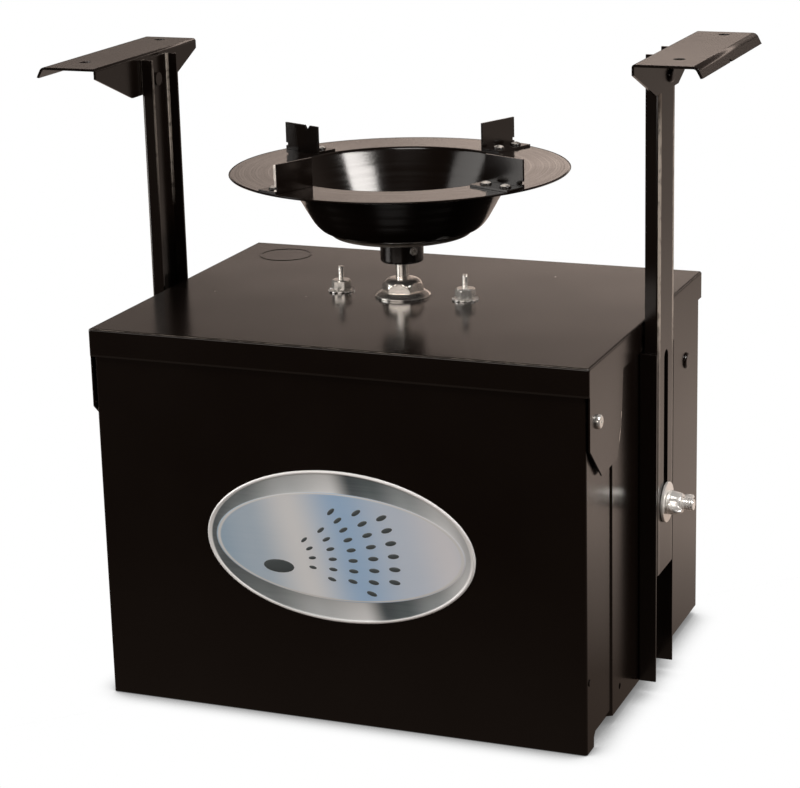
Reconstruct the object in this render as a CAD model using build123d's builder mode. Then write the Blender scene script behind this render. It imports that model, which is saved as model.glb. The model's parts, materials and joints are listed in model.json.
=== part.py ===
"""Spin cast feeder.

A sheet steel housing with a top-hung front door holds a battery, a timer and a motor. The motor's shaft comes
up through the lid and turns a casting bowl with four vanes. Two slotted legs slide in rails on the sides of
the housing, are clamped by wing nuts, and carry the feet that are screwed to a feed drum.

Millimetres. The origin is on the ground under the centre of the lid, +X to the right, +Y to the back, +Z up.
"""
import os
from math import cos, radians, sin, tan

from build123d import *

os.makedirs("parts", exist_ok=True)

# ---- Sheet metal and fits
sheet = 0.8                 # housing, lid and base
door_sheet = 0.9
rail_sheet = 1.0
leg_sheet = 1.2
running_gap = 0.05          # radial clearance of everything that turns on a pin or shaft
bend = 1.4                  # outside radius of a folded edge

# ---- Lid
lid_width = 240.0
lid_depth = 186.0
lid_top = 179.25
lid_drop = 13.1             # depth of the flange all round
lid_underside = lid_top - sheet
mark_x = -93.6              # round embossed mark near the back left corner
mark_y = 70.0
mark_radius = 13.0

# ---- Housing
body_half_width = 118.8     # outside of the side walls
body_back = 92.0            # outside of the back wall
body_bottom = 4.5
step_back = -55.4           # the side walls step inwards here to let the door's sides lie flush
step_front = -56.9
strip_half_width = 116.3    # outside of the stepped-in strip
pan_half_width = 117.9
body_front = -90.4
front_return = 10.3         # width of the strip's inward fold

# ---- Door
door_half_width = 118.07
door_face = -91.92
door_bottom = 0.35
door_top = 169.0
door_side_back = -57.2
door_side_bottom = 8.0
door_lip_back = -81.5
hinge_y = -80.6
hinge_z = 152.5
hinge_shank = 2.0           # radius
hinge_tab_radius = 10.0     # round end of the housing's strips about the hinge
door_top_swing = 20.6       # reach of the door's top edge about the hinge, with some room

# ---- Legs, rails and clamps
rail_half_width = 14.75
rail_bottom = 5.8
rail_top = 165.2
rail_face = 127.6
leg_half_width = 13.15
leg_face = 127.84           # outside of the leg's web
leg_edge = 121.4            # free edge of the leg's flanges
leg_bottom = 58.0
leg_top = 301.3
slot_bottom = 87.0
slot_top = 164.2
slot_width = 6.6
left_set = 11.0             # the left leg is clamped this much lower than the right one
clamp_z = 90.6
bolt_radius = 3.0
bolt_end = 141.5
washer_radius = 9.6
washer_gap = 0.1
washer_thick = 1.4

# ---- Feet
foot_top = 303.65
foot_front = -57.0
foot_rear = 47.0
foot_bend_x = 155.6         # where the outer lip starts to fall
foot_outer = 159.0
foot_lip_drop = 5.2
foot_bend_radius = 3.0      # outside of the bend into the lip
foot_hole_radius = 2.6
foot_hole_pitch = 76.2
foot_hole_x = 143.5
foot_rivet_z = 290.6

# ---- Spinner
spin_x = -3.9
spin_y = 6.4
shaft_radius = 3.175
shaft_top = 208.6
shaft_bottom = 118.0
bowl_rim_z = 240.9          # top of the bowl's flat rim
bowl_rim_radius = 80.5
bowl_mouth_radius = 54.6
bowl_sheet = 0.8
bowl_bottom = 209.6
hub_radius = 10.3
hub_bottom = 196.2
neck_radius = 6.0
vane_base_angle = 66.7
vane_inner = 56.0
vane_outer = 79.0
vane_height = 13.4
vane_sheet = 1.0
vane_foot = 11.5

# ---- Motor and its mounting
stud_pitch = 63.5
stud_radius = 1.5
stud_top = 191.5
plate_top = 167.0
plate_thick = 1.5
motor_radius = 18.5
motor_top = plate_top - plate_thick
motor_bottom = 116.0

# ---- Battery
battery_side = 66.0
battery_height = 98.0
battery_x = -68.0
battery_y = -8.0
floor_top = 6.3             # top of the base's flat floor

# ---- Timer
timer_x = 66.0
timer_front = -4.0
timer_depth = 24.0
timer_width = 58.0
timer_height = 84.0
timer_bottom = 36.0
timer_wall = 2.0
button_radius = 3.5
button_proud = 1.8
button_rows = (58.0, 76.0)  # heights of the two rows
button_offset = 14.0        # half the distance between the two columns


def save(piece, name):
    """Label a finished piece and write it to its own STEP file."""
    piece.part.label = name
    export_step(piece.part, f"parts/{name}.step")


def side_name(side):
    return "right" if side > 0 else "left"


def across(side, near, far):
    """Start offset and thickness of a slab between two distances from the middle, on one side."""
    return min(side * near, side * far), abs(far - near)


# ---------------------------------------------------------------- lid

with BuildPart() as lid:
    with BuildSketch(Plane.XY.offset(lid_top - lid_drop)) as lid_outline:
        Rectangle(lid_width, lid_depth)
        fillet(lid_outline.vertices(), 1.2)
    extrude(amount=lid_drop)
    fillet(lid.faces().sort_by(Axis.Z)[-1].edges(), 1.1)
    with BuildSketch(Plane.XY.offset(lid_top - lid_drop)):
        Rectangle(lid_width - 2 * sheet, lid_depth - 2 * sheet)
    extrude(amount=lid_drop - sheet, mode=Mode.SUBTRACT)
    # An ear hangs from the front end of each side flange and carries the door's hinge screw.
    for side in (-1, 1):
        start, thick = across(side, lid_width / 2 - sheet, lid_width / 2)
        with BuildSketch(Plane.YZ.offset(start)):
            with BuildLine():
                Polyline(
                    (-91.8, lid_top - 10),
                    (-91.8, 142),
                    (-74.6, 126),
                    (-51.5, 126.8),
                    (-45.5, 140.6),
                    (-42, lid_top - 10),
                    close=True,
                )
            make_face()
        extrude(amount=thick)
    with Locations(Location((0, hinge_y, hinge_z), (0, 90, 0))):
        Cylinder(hinge_shank + 0.1, lid_width + 10, mode=Mode.SUBTRACT)
    with Locations((spin_x, spin_y, lid_top)):
        Hole(8.0, depth=4)
    with Locations((spin_x - stud_pitch / 2, spin_y, lid_top), (spin_x + stud_pitch / 2, spin_y, lid_top)):
        Hole(stud_radius + 0.2, depth=4)
    with BuildSketch(Plane.XZ.offset(-mark_y)):
        with BuildLine():
            Polyline(
                (mark_x + mark_radius - 1.1, lid_top - 0.15),
                (mark_x + mark_radius - 0.35, lid_top + 0.2),
                (mark_x + mark_radius + 0.35, lid_top + 0.2),
                (mark_x + mark_radius + 1.1, lid_top - 0.15),
                close=True,
            )
        make_face()
    revolve(axis=Axis((mark_x, mark_y, 0), (0, 0, 1)))
save(lid, "lid")

# ---------------------------------------------------------------- housing walls

with BuildPart() as housing_body:
    with BuildSketch(Plane.XY.offset(body_bottom)) as walls:
        with BuildLine():
            Polyline(
                (-body_half_width, body_back),
                (body_half_width, body_back),
                (body_half_width, step_back),
                (strip_half_width, step_front),
                (strip_half_width, body_front),
                (-strip_half_width, body_front),
                (-strip_half_width, step_front),
                (-body_half_width, step_back),
                close=True,
            )
        make_face()
        fillet(walls.vertices().group_by(Axis.Y)[-1], bend)
        offset(amount=-sheet, kind=Kind.INTERSECTION, mode=Mode.SUBTRACT)
        with Locations((0, body_front)):
            Rectangle(2 * (strip_half_width - front_return), 10, mode=Mode.SUBTRACT)
    extrude(amount=lid_underside - body_bottom)
    # A narrow fold round the top of the back and sides carries the lid.
    with BuildSketch(Plane.XY.offset(lid_underside - sheet)):
        with Locations((0, (body_back + step_back) / 2)):
            Rectangle(2 * body_half_width - 1, body_back - step_back - 1)
        with Locations((0, (body_back + step_back) / 2 - 12)):
            Rectangle(2 * body_half_width - 20, body_back - step_back + 6, mode=Mode.SUBTRACT)
    extrude(amount=sheet)
    # Above the hinge the strips end in a round tab, because the door's top edge swings inwards there.
    with BuildSketch(Plane.YZ.offset(-body_half_width - 5)):
        with Locations((hinge_y, hinge_z)):
            Rectangle(2 * door_top_swing, 30, align=(Align.CENTER, Align.MIN))
            Circle(hinge_tab_radius, mode=Mode.SUBTRACT)
    extrude(amount=2 * body_half_width + 10, mode=Mode.SUBTRACT)
    for height, y, radius in ((clamp_z, 0, bolt_radius + 0.1), (hinge_z, hinge_y, hinge_shank + 0.1),
                              (140.0, 68.5, 2.1), (14.6, -44.0, 1.5)):
        with Locations(Location((0, y, height), (0, 90, 0))):
            Cylinder(radius, 2 * body_half_width + 10, mode=Mode.SUBTRACT)
save(housing_body, "housing_body")

with BuildPart() as base_pan:
    with BuildSketch(Plane.XZ.offset(80)):
        with BuildLine():
            half = []
            for x, z in ((pan_half_width - sheet, 18.0), (pan_half_width - sheet, floor_top), (87.0, floor_top),
                         (83.5, sheet), (56.5, sheet), (53.0, floor_top)):
                half.append((x, z))
            Polyline([(-x, z) for x, z in half] + half[::-1])
            offset(amount=sheet, side=Side.RIGHT, closed=True, kind=Kind.INTERSECTION)
        make_face()
    extrude(amount=-(80 + body_back - 1.2))
    # The front corners are cut back to fit between the stepped-in strips.
    for side in (-1, 1):
        with Locations((side * (strip_half_width - sheet - 0.3 + 10), (step_back - 80) / 2, 20)):
            Box(20, step_back + 82, 40, mode=Mode.SUBTRACT)
save(base_pan, "base_pan")

# ---------------------------------------------------------------- door

with BuildPart() as front_door:
    with BuildSketch(Plane.XY.offset(door_bottom)) as door_plan:
        with Locations((0, (door_face + door_side_back) / 2)):
            Rectangle(2 * door_half_width, door_side_back - door_face)
        fillet(door_plan.vertices().group_by(Axis.Y)[0], bend)
        with Locations((0, (door_face + door_sheet + door_side_back) / 2 + 5)):
            Rectangle(2 * (door_half_width - door_sheet), door_side_back - door_face - door_sheet + 10,
                      mode=Mode.SUBTRACT)
    extrude(amount=door_top - door_bottom)
    # The outline of the sides: short at the bottom, rounded about the hinge at the top.
    swing = door_side_back - hinge_y
    top_reach = (swing**2 - (door_top - hinge_z) ** 2) ** 0.5
    with BuildSketch(Plane.YZ.offset(-lid_width / 2)):
        with BuildLine():
            Polyline(
                (hinge_y + top_reach, door_top),
                (door_face, door_top),
                (door_face, door_bottom),
                (door_lip_back, door_bottom),
                (door_lip_back, door_side_bottom - 3),
                (door_lip_back + 3, door_side_bottom),
                (door_side_back, door_side_bottom),
                (door_side_back, hinge_z),
            )
            RadiusArc((door_side_back, hinge_z), (hinge_y + top_reach, door_top), -swing)
        make_face()
    extrude(amount=lid_width, mode=Mode.INTERSECT)
    # Inward folds stiffen the bottom and top edges of the panel.
    with Locations((0, (door_face + door_lip_back) / 2 + 0.4, door_bottom + door_sheet / 2)):
        Box(2 * door_half_width - 2, door_lip_back - door_face - 0.8, door_sheet)
    with Locations((0, door_face + 4, door_top - door_sheet / 2)):
        Box(200, 7, door_sheet)
    with Locations(Location((0, hinge_y, hinge_z), (0, 90, 0))):
        Cylinder(hinge_shank + running_gap, lid_width, mode=Mode.SUBTRACT)
    # Pressed dimples near the foot of the sides.
    for side in (-1, 1):
        with Locations(Location((side * (door_half_width + 0.15), -87.6, 33.6), (0, 90, 0))):
            Cylinder(1.6, 0.5)
save(front_door, "front_door")

badge_radius_x = 65.5
badge_radius_z = 36.0
badge_x = 1.5
badge_z = 86.0
with BuildPart() as badge:
    badge_plane = Plane(origin=(badge_x, door_face, badge_z), x_dir=(1, 0, 0), z_dir=(0, -1, 0))
    with BuildSketch(badge_plane):
        Ellipse(badge_radius_x, badge_radius_z)
    extrude(amount=0.5)
    with BuildSketch(badge_plane.offset(0.5)):
        Ellipse(badge_radius_x, badge_radius_z)
        Ellipse(badge_radius_x - 2.2, badge_radius_z - 2.2, mode=Mode.SUBTRACT)
    extrude(amount=0.3)
save(badge, "badge")

# ---------------------------------------------------------------- hinge screws and rear rivets

with BuildPart() as hinge_screws:
    for side in (-1, 1):
        with Locations(Location((side * (lid_width / 2 + 0.9), hinge_y, hinge_z), (0, 90, 0))):
            Cylinder(3.3, 1.8)
        with Locations(Location((side * (lid_width / 2 - 4.5), hinge_y, hinge_z), (0, 90, 0))):
            Cylinder(hinge_shank, 9.0)
    fillet(hinge_screws.edges().filter_by(GeomType.CIRCLE).group_by(Axis.X)[0], 1.2)
    fillet(hinge_screws.edges().filter_by(GeomType.CIRCLE).group_by(Axis.X)[-1], 1.2)
    for side in (-1, 1):
        for wide, tall in ((0.8, 3.4), (3.4, 0.8)):
            with Locations((side * (lid_width / 2 + 1.5), hinge_y, hinge_z)):
                Box(0.8, wide, tall, mode=Mode.SUBTRACT)
save(hinge_screws, "hinge_screws")

with BuildPart() as hinge_nuts:
    for side in (-1, 1):
        start, thick = across(side, strip_half_width - sheet - 2.8, strip_half_width - sheet)
        with BuildSketch(Plane.YZ.offset(start)):
            with Locations((hinge_y, hinge_z)):
                RegularPolygon(3.6, 6, major_radius=False)
                Circle(hinge_shank + 0.02, mode=Mode.SUBTRACT)
        extrude(amount=thick)
save(hinge_nuts, "hinge_nuts")

with BuildPart() as rear_rivets:
    for side in (-1, 1):
        with Locations(Location((side * (body_half_width + 0.6), 68.5, 140.0), (0, 90, 0))):
            Cylinder(4.0, 1.2)
        with Locations(Location((side * (body_half_width - 1.0), 68.5, 140.0), (0, 90, 0))):
            Cylinder(2.0, 2.4)
        with Locations(Location((side * (body_half_width - sheet - 0.6), 68.5, 140.0), (0, 90, 0))):
            Cylinder(3.2, 1.2)
    fillet(rear_rivets.edges().filter_by(GeomType.CIRCLE).group_by(Axis.X)[0], 1.1)
    fillet(rear_rivets.edges().filter_by(GeomType.CIRCLE).group_by(Axis.X)[-1], 1.1)
save(rear_rivets, "rear_rivets")


# ---------------------------------------------------------------- rails, legs, feet and clamps

def make_rail(side):
    """Channel welded to the side wall, open outwards; the leg slides in it."""
    with BuildPart() as rail:
        with BuildSketch(Plane.XY.offset(rail_bottom)) as section:
            with Locations((side * (body_half_width + rail_face) / 2, 0)):
                Rectangle(rail_face - body_half_width, 2 * rail_half_width)
            fillet(section.vertices().filter_by(lambda v: abs(v.X) < body_half_width + 1), bend)
            with Locations((side * (body_half_width + rail_sheet + 6), 0)):
                Rectangle(12, 2 * (rail_half_width - rail_sheet), mode=Mode.SUBTRACT)
        extrude(amount=rail_top - rail_bottom)
        with Locations(Location((side * body_half_width, 0, clamp_z), (0, 90, 0))):
            Cylinder(bolt_radius + 0.1, 6, mode=Mode.SUBTRACT)
    save(rail, f"{side_name(side)}_rail")


def make_leg(side, low):
    """Slotted channel, open towards the housing. low is how far it is slid down."""
    with BuildPart() as leg:
        with BuildSketch(Plane.XY.offset(leg_bottom - low)) as section:
            with Locations((side * (leg_edge + leg_face) / 2, 0)):
                Rectangle(leg_face - leg_edge, 2 * leg_half_width)
            fillet(section.vertices().filter_by(lambda v: abs(v.X) > leg_face - 1), bend)
            with Locations((side * (leg_face - leg_sheet - 6), 0)):
                Rectangle(12, 2 * (leg_half_width - leg_sheet), mode=Mode.SUBTRACT)
        extrude(amount=leg_top - leg_bottom)
        start, thick = across(side, leg_face - 2, leg_face + 1)
        with BuildSketch(Plane.YZ.offset(start)):
            with Locations(Location((0, (slot_bottom + slot_top) / 2 - low), 90)):
                SlotOverall(slot_top - slot_bottom, slot_width)
            with Locations((0, foot_rivet_z - low)):
                Circle(2.1)
        extrude(amount=thick, mode=Mode.SUBTRACT)
    save(leg, f"{side_name(side)}_leg")


def make_foot(side, low):
    """Flat plate with a gusset that is riveted to the leg's web and a turned-down outer lip."""
    top = foot_top - low
    gusset_face = leg_face + leg_sheet
    with BuildPart() as foot:
        with BuildSketch(Plane.XZ.offset(-foot_front)) as foot_section:
            with BuildLine():
                Polyline(
                    (side * leg_face, top),
                    (side * (foot_bend_x + 0.9), top),
                    (side * foot_outer, top - foot_lip_drop + 0.3),
                    (side * (foot_outer - leg_sheet), top - foot_lip_drop),
                    (side * foot_bend_x, top - leg_sheet),
                    (side * leg_face, top - leg_sheet),
                    close=True,
                )
            make_face()
            outside = (side * (foot_bend_x + 0.9), top)
            inside = (side * foot_bend_x, top - leg_sheet)
            fillet(foot_section.vertices().sort_by_distance(outside)[0], foot_bend_radius)
            fillet(foot_section.vertices().sort_by_distance(inside)[0], foot_bend_radius - leg_sheet)
        extrude(amount=-(foot_rear - foot_front))
        start, thick = across(side, leg_face, gusset_face)
        with BuildSketch(Plane.YZ.offset(start)):
            with BuildLine():
                Polyline(
                    (foot_front, top - leg_sheet / 2),
                    (foot_front, top - 4.8),
                    (-22, top - 19),
                    (14, top - 19),
                    (foot_rear, top - 4.8),
                    (foot_rear, top - leg_sheet / 2),
                    close=True,
                )
            make_face()
        extrude(amount=thick)
        corner = (side * leg_face, (foot_front + foot_rear) / 2, top)
        fillet(foot.edges().filter_by(Axis.Y).sort_by_distance(corner)[0], bend)
        with Locations((side * foot_hole_x, -foot_hole_pitch / 2, top),
                       (side * foot_hole_x, foot_hole_pitch / 2, top)):
            Hole(foot_hole_radius, depth=4)
        with Locations(Location((side * leg_face, 0, foot_rivet_z - low), (0, 90, 0))):
            Cylinder(2.1, 6, mode=Mode.SUBTRACT)
        with Locations(Location((side * foot_outer, -9.5, top - foot_lip_drop), (0, 90, 0))):
            Cylinder(1.6, 8, mode=Mode.SUBTRACT)
    save(foot, f"{side_name(side)}_foot")


def make_foot_rivet(side, low):
    with BuildPart() as rivet:
        for middle, radius, length in (
            (leg_face + leg_sheet + 0.9, 3.4, 1.8),
            (leg_face, 2.0, 5.2),
            (leg_face - leg_sheet - 0.8, 3.2, 1.6),
        ):
            with Locations(Location((side * middle, 0, foot_rivet_z - low), (0, 90, 0))):
                Cylinder(radius, length)
        rims = rivet.edges().filter_by(GeomType.CIRCLE).sort_by(lambda e: abs(e.center().X))
        fillet(rims[-1], 1.5)
    save(rivet, f"{side_name(side)}_foot_rivet")


def make_clamp_bolt(side):
    """Hexagon bolt from inside the housing, out through the wall, the rail and the leg's slot."""
    head_face = body_half_width - sheet
    with BuildPart() as bolt:
        start, thick = across(side, head_face - 3.6, head_face)
        with BuildSketch(Plane.YZ.offset(start)):
            with Locations((0, clamp_z)):
                RegularPolygon(5.0, 6, major_radius=False)
        extrude(amount=thick)
        start, thick = across(side, head_face - 0.5, bolt_end)
        with BuildSketch(Plane.YZ.offset(start)):
            with Locations((0, clamp_z)):
                Circle(bolt_radius)
        extrude(amount=thick)
        tip = bolt.edges().filter_by(GeomType.CIRCLE).sort_by(lambda e: abs(e.center().X))[-1]
        chamfer(tip, 0.5)
    save(bolt, f"{side_name(side)}_clamp_bolt")


def make_washer(side):
    near = leg_face + washer_gap
    start, thick = across(side, near, near + washer_thick)
    with BuildPart() as washer:
        with BuildSketch(Plane.YZ.offset(start)):
            with Locations((0, clamp_z)):
                Circle(washer_radius)
                Circle(bolt_radius + 0.2, mode=Mode.SUBTRACT)
        extrude(amount=thick)
        chamfer(washer.edges().sort_by(SortBy.LENGTH)[-2:], 0.25)
    save(washer, f"{side_name(side)}_washer")


def make_wing_nut(side):
    """Tapered hub with two wings that lean outwards, standing level along Y at rest."""
    base = leg_face + washer_gap + washer_thick + 0.1
    hub_length = 7.0
    hub_plane = Plane(origin=(side * base, 0, clamp_z), x_dir=(0, 1, 0), z_dir=(side, 0, 0))
    with BuildPart() as nut:
        with BuildSketch(hub_plane):
            Circle(5.8)
        with BuildSketch(hub_plane.offset(hub_length)):
            Circle(4.4)
        loft()
        wing_plane = Plane(origin=(side * base, 0, clamp_z), x_dir=(0, 1, 0), z_dir=(0, 0, 1))
        for way in (-1, 1):
            with BuildSketch(wing_plane.offset(-1.1)) as wing:
                with BuildLine():
                    Polyline(
                        (way * 2, 0),
                        (way * 5.6, 0),
                        (way * 12.8, side * -6.2),
                        (way * 12.8, side * -10.2),
                        (way * 8.0, side * -10.2),
                        (way * 3.6, side * -6.0),
                        close=True,
                    )
                make_face()
                fillet(wing.vertices().sort_by(lambda v: abs(v.Y))[-3:], 1.8)
            extrude(amount=2.2)
        with Locations(Location((side * (base + 4), 0, clamp_z), (0, 90, 0))):
            Cylinder(bolt_radius + running_gap, 12, mode=Mode.SUBTRACT)
    save(nut, f"{side_name(side)}_wing_nut")


for side, low in ((-1, left_set), (1, 0.0)):
    make_rail(side)
    make_leg(side, low)
    make_foot(side, low)
    make_foot_rivet(side, low)
    make_clamp_bolt(side)
    make_washer(side)
    make_wing_nut(side)

# ---------------------------------------------------------------- motor drive under and through the lid

spin_plane = Plane((spin_x, spin_y, 0))
spin_axis = Axis((spin_x, spin_y, 0), (0, 0, 1))
stud_places = ((spin_x - stud_pitch / 2, spin_y), (spin_x + stud_pitch / 2, spin_y))

with BuildPart() as shaft_bushing:
    with BuildSketch(Plane.XZ.offset(-spin_y)):
        with BuildLine():
            Polyline(
                (spin_x, plate_top),
                (spin_x + 7.8, plate_top),
                (spin_x + 7.8, lid_top),
                (spin_x + 13.4, lid_top),
                (spin_x + 13.4, lid_top + 0.9),
                (spin_x + 12.0, lid_top + 1.9),
                (spin_x + 10.4, lid_top + 2.6),
                (spin_x + 10.4, lid_top + 3.2),
            )
            ThreePointArc(
                (spin_x + 10.4, lid_top + 3.2),
                (spin_x + 8.9, lid_top + 6.6),
                (spin_x + 6.0, lid_top + 8.7),
            )
            Polyline((spin_x + 6.0, lid_top + 8.7), (spin_x, lid_top + 8.7), (spin_x, plate_top))
        make_face()
    revolve(axis=spin_axis)
    # Six flats above the flange.
    with BuildSketch(spin_plane.offset(lid_top + 2.6)):
        Circle(20)
        RegularPolygon(8.8, 6, major_radius=False, rotation=10, mode=Mode.SUBTRACT)
    extrude(amount=10, mode=Mode.SUBTRACT)
    with Locations((spin_x, spin_y, lid_top)):
        Cylinder(shaft_radius + running_gap, 60, mode=Mode.SUBTRACT)
save(shaft_bushing, "shaft_bushing")

with BuildPart() as motor_plate:
    with BuildSketch(Plane.XY.offset(plate_top - plate_thick)) as plate_plan:
        with Locations((spin_x, spin_y)):
            Rectangle(78, 42)
        fillet(plate_plan.vertices(), 5)
        with Locations(*stud_places):
            Circle(stud_radius + 0.15, mode=Mode.SUBTRACT)
        with Locations((spin_x, spin_y)):
            Circle(6.1, mode=Mode.SUBTRACT)
        with Locations((spin_x, spin_y - 12.5), (spin_x, spin_y + 12.5)):
            Circle(1.65, mode=Mode.SUBTRACT)
    extrude(amount=plate_thick)
save(motor_plate, "motor_plate")

with BuildPart() as motor_can:
    with BuildSketch(spin_plane.offset(motor_bottom)):
        Circle(motor_radius)
    extrude(amount=motor_top - motor_bottom)
    fillet(motor_can.edges().group_by(Axis.Z)[-1], 2.0)
    with BuildSketch(spin_plane.offset(motor_top - 0.1)):
        Circle(6.0)
    extrude(amount=plate_thick)
    with BuildSketch(spin_plane.offset(motor_bottom)):
        Circle(shaft_radius + running_gap)
    extrude(amount=80, mode=Mode.SUBTRACT)
    with Locations((spin_x, spin_y - 12.5, motor_top), (spin_x, spin_y + 12.5, motor_top)):
        Hole(1.55, depth=5)
save(motor_can, "motor_can")

with BuildPart() as motor_end_cap:
    with BuildSketch(spin_plane.offset(motor_bottom - 4)):
        Circle(motor_radius - 0.6)
    extrude(amount=4)
    with BuildSketch(spin_plane.offset(motor_bottom - 7)):
        Circle(5)
    extrude(amount=3)
    chamfer(motor_end_cap.edges().group_by(Axis.Z)[0], 0.6)
save(motor_end_cap, "motor_end_cap")

tab_places = ((spin_x - 11, spin_y), (spin_x + 11, spin_y))
tab_bottom = motor_bottom - 11
with BuildPart() as motor_terminals:
    for x, y in tab_places:
        with Locations((x, y, (tab_bottom + motor_bottom - 4) / 2)):
            Box(0.8, 4.8, motor_bottom - 4 - tab_bottom)
save(motor_terminals, "motor_terminals")

with BuildPart() as motor_screws:
    for y in (spin_y - 12.5, spin_y + 12.5):
        with Locations((spin_x, y, plate_top + 1.0)):
            Cylinder(2.8, 2.0)
        with Locations((spin_x, y, plate_top - 2.5)):
            Cylinder(1.5, 5.0)
    for y in (spin_y - 12.5, spin_y + 12.5):
        with Locations((spin_x, y, plate_top + 1.8)):
            Box(4.4, 0.8, 1.0, mode=Mode.SUBTRACT)
save(motor_screws, "motor_screws")

with BuildPart() as mount_studs:
    for x, y in stud_places:
        with BuildSketch(Plane((x, y, plate_top - plate_thick - 2.4))):
            RegularPolygon(2.9, 6, major_radius=False)
        extrude(amount=2.4)
        with BuildSketch(Plane((x, y, plate_top - plate_thick - 1))):
            Circle(stud_radius)
        extrude(amount=stud_top - plate_top + plate_thick + 1)
    chamfer(mount_studs.edges().group_by(Axis.Z)[-1], 0.3)
save(mount_studs, "mount_studs")

with BuildPart() as mount_spacers:
    for x, y in stud_places:
        with BuildSketch(Plane((x, y, plate_top))):
            Circle(4)
            Circle(stud_radius + 0.15, mode=Mode.SUBTRACT)
        extrude(amount=lid_underside - plate_top)
save(mount_spacers, "mount_spacers")

stud_washer_thick = 0.9
with BuildPart() as stud_washers:
    for x, y in stud_places:
        with BuildSketch(Plane((x, y, lid_top))):
            Circle(6.4)
            Circle(stud_radius + 0.2, mode=Mode.SUBTRACT)
            with PolarLocations(6.4, 12):
                Rectangle(1.8, 0.8, mode=Mode.SUBTRACT)
        extrude(amount=stud_washer_thick)
save(stud_washers, "stud_washers")

with BuildPart() as stud_nuts:
    for x, y in stud_places:
        with BuildSketch(Plane((x, y, lid_top + stud_washer_thick))):
            RegularPolygon(4.3, 6, major_radius=False, rotation=15)
            Circle(stud_radius + 0.02, mode=Mode.SUBTRACT)
        extrude(amount=4.8)
save(stud_nuts, "stud_nuts")

# ---------------------------------------------------------------- spinner

with BuildPart() as motor_shaft:
    with BuildSketch(spin_plane.offset(shaft_bottom)):
        Circle(shaft_radius)
    extrude(amount=shaft_top - shaft_bottom)
    chamfer(motor_shaft.edges().group_by(Axis.Z)[-1], 0.5)
save(motor_shaft, "motor_shaft")

with BuildPart() as spinner_bowl:
    with BuildSketch(Plane.XZ.offset(-spin_y)):
        with BuildLine():
            under = bowl_rim_z - bowl_sheet
            FilletPolyline(
                (spin_x + bowl_rim_radius, under),
                (spin_x + bowl_mouth_radius, under),
                (spin_x + 42.3, 218.6),
                (spin_x + 38.3, 213.8),
                (spin_x + 34.1, 212.0),
                (spin_x + 33.3, bowl_bottom),
                (spin_x + neck_radius + 0.05, bowl_bottom),
                radius=0.9,
            )
            offset(amount=bowl_sheet, side=Side.RIGHT, closed=True)
        make_face()
    revolve(axis=spin_axis)
    for k in range(4):
        angle = radians(vane_base_angle + 90 * k)
        for r in (vane_inner + 5.5, vane_outer - 5.5):
            x = spin_x + r * cos(angle) + vane_foot * 0.58 * sin(angle)
            y = spin_y + r * sin(angle) - vane_foot * 0.58 * cos(angle)
            with Locations((x, y, bowl_rim_z)):
                Hole(1.6, depth=4)
save(spinner_bowl, "spinner_bowl")

set_screw_z = 202.6
set_screw_angle = -36.0
screw_direction = Vector(cos(radians(set_screw_angle)), sin(radians(set_screw_angle)), 0)
screw_plane = Plane(origin=(spin_x, spin_y, set_screw_z), z_dir=screw_direction)
with BuildPart() as spinner_hub:
    with BuildSketch(spin_plane.offset(hub_bottom)):
        Circle(hub_radius)
    extrude(amount=bowl_bottom - hub_bottom)
    fillet(spinner_hub.edges().group_by(Axis.Z)[0], 1.2)
    with BuildSketch(spin_plane.offset(bowl_bottom)):
        Circle(neck_radius)
    extrude(amount=bowl_sheet + 0.8)
    with BuildSketch(spin_plane.offset(bowl_bottom + bowl_sheet)):
        Circle(neck_radius + 1.6)
    extrude(amount=0.8)
    with BuildSketch(spin_plane.offset(hub_bottom)):
        Circle(shaft_radius + 0.02)
    extrude(amount=shaft_top - hub_bottom + 0.2, mode=Mode.SUBTRACT)
    with BuildSketch(screw_plane.offset(1)):
        Circle(2.02)
    extrude(amount=hub_radius + 4, mode=Mode.SUBTRACT)
save(spinner_hub, "spinner_hub")

with BuildPart() as set_screw:
    with BuildSketch(screw_plane.offset(shaft_radius + 0.02)):
        Circle(2.0)
    extrude(amount=hub_radius - shaft_radius + 0.4)
    with BuildSketch(screw_plane.offset(hub_radius - 1.6)):
        RegularPolygon(1.0, 6, major_radius=False)
    extrude(amount=4, mode=Mode.SUBTRACT)
save(set_screw, "set_screw")


def make_vane(number, notched):
    """Angle bracket riveted on the rim: an upright blade on a radius and a foot on its clockwise side."""
    turn = vane_base_angle + 90 * number
    frame = Plane((spin_x, spin_y, bowl_rim_z)).rotated((0, 0, turn))
    blade_plane = Plane(frame.origin, x_dir=frame.x_dir, z_dir=-frame.y_dir)
    with BuildPart() as vane:
        with BuildSketch(frame):
            with Locations(((vane_inner + vane_outer) / 2, -vane_foot / 2)):
                Rectangle(vane_outer - vane_inner, vane_foot)
            for r in (vane_inner + 5.5, vane_outer - 5.5):
                with Locations((r, -vane_foot * 0.58)):
                    Circle(1.6, mode=Mode.SUBTRACT)
        extrude(amount=vane_sheet)
        with BuildSketch(blade_plane):
            with Locations(((vane_inner + vane_outer) / 2, vane_height / 2)):
                Rectangle(vane_outer - vane_inner, vane_height)
            with Locations((vane_outer, 2.6)):
                Rectangle(2.4, 1.4, mode=Mode.SUBTRACT)
            if notched:
                with BuildLine():
                    notch_r = vane_inner + 7.4
                    Polyline((notch_r - 2.4, vane_height + 1), (notch_r, vane_height - 2.2),
                             (notch_r + 2.4, vane_height + 1), close=True)
                make_face(mode=Mode.SUBTRACT)
        extrude(amount=vane_sheet)
    save(vane, f"vane_{number + 1}")


for number in range(4):
    make_vane(number, notched=number == 1)

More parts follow.
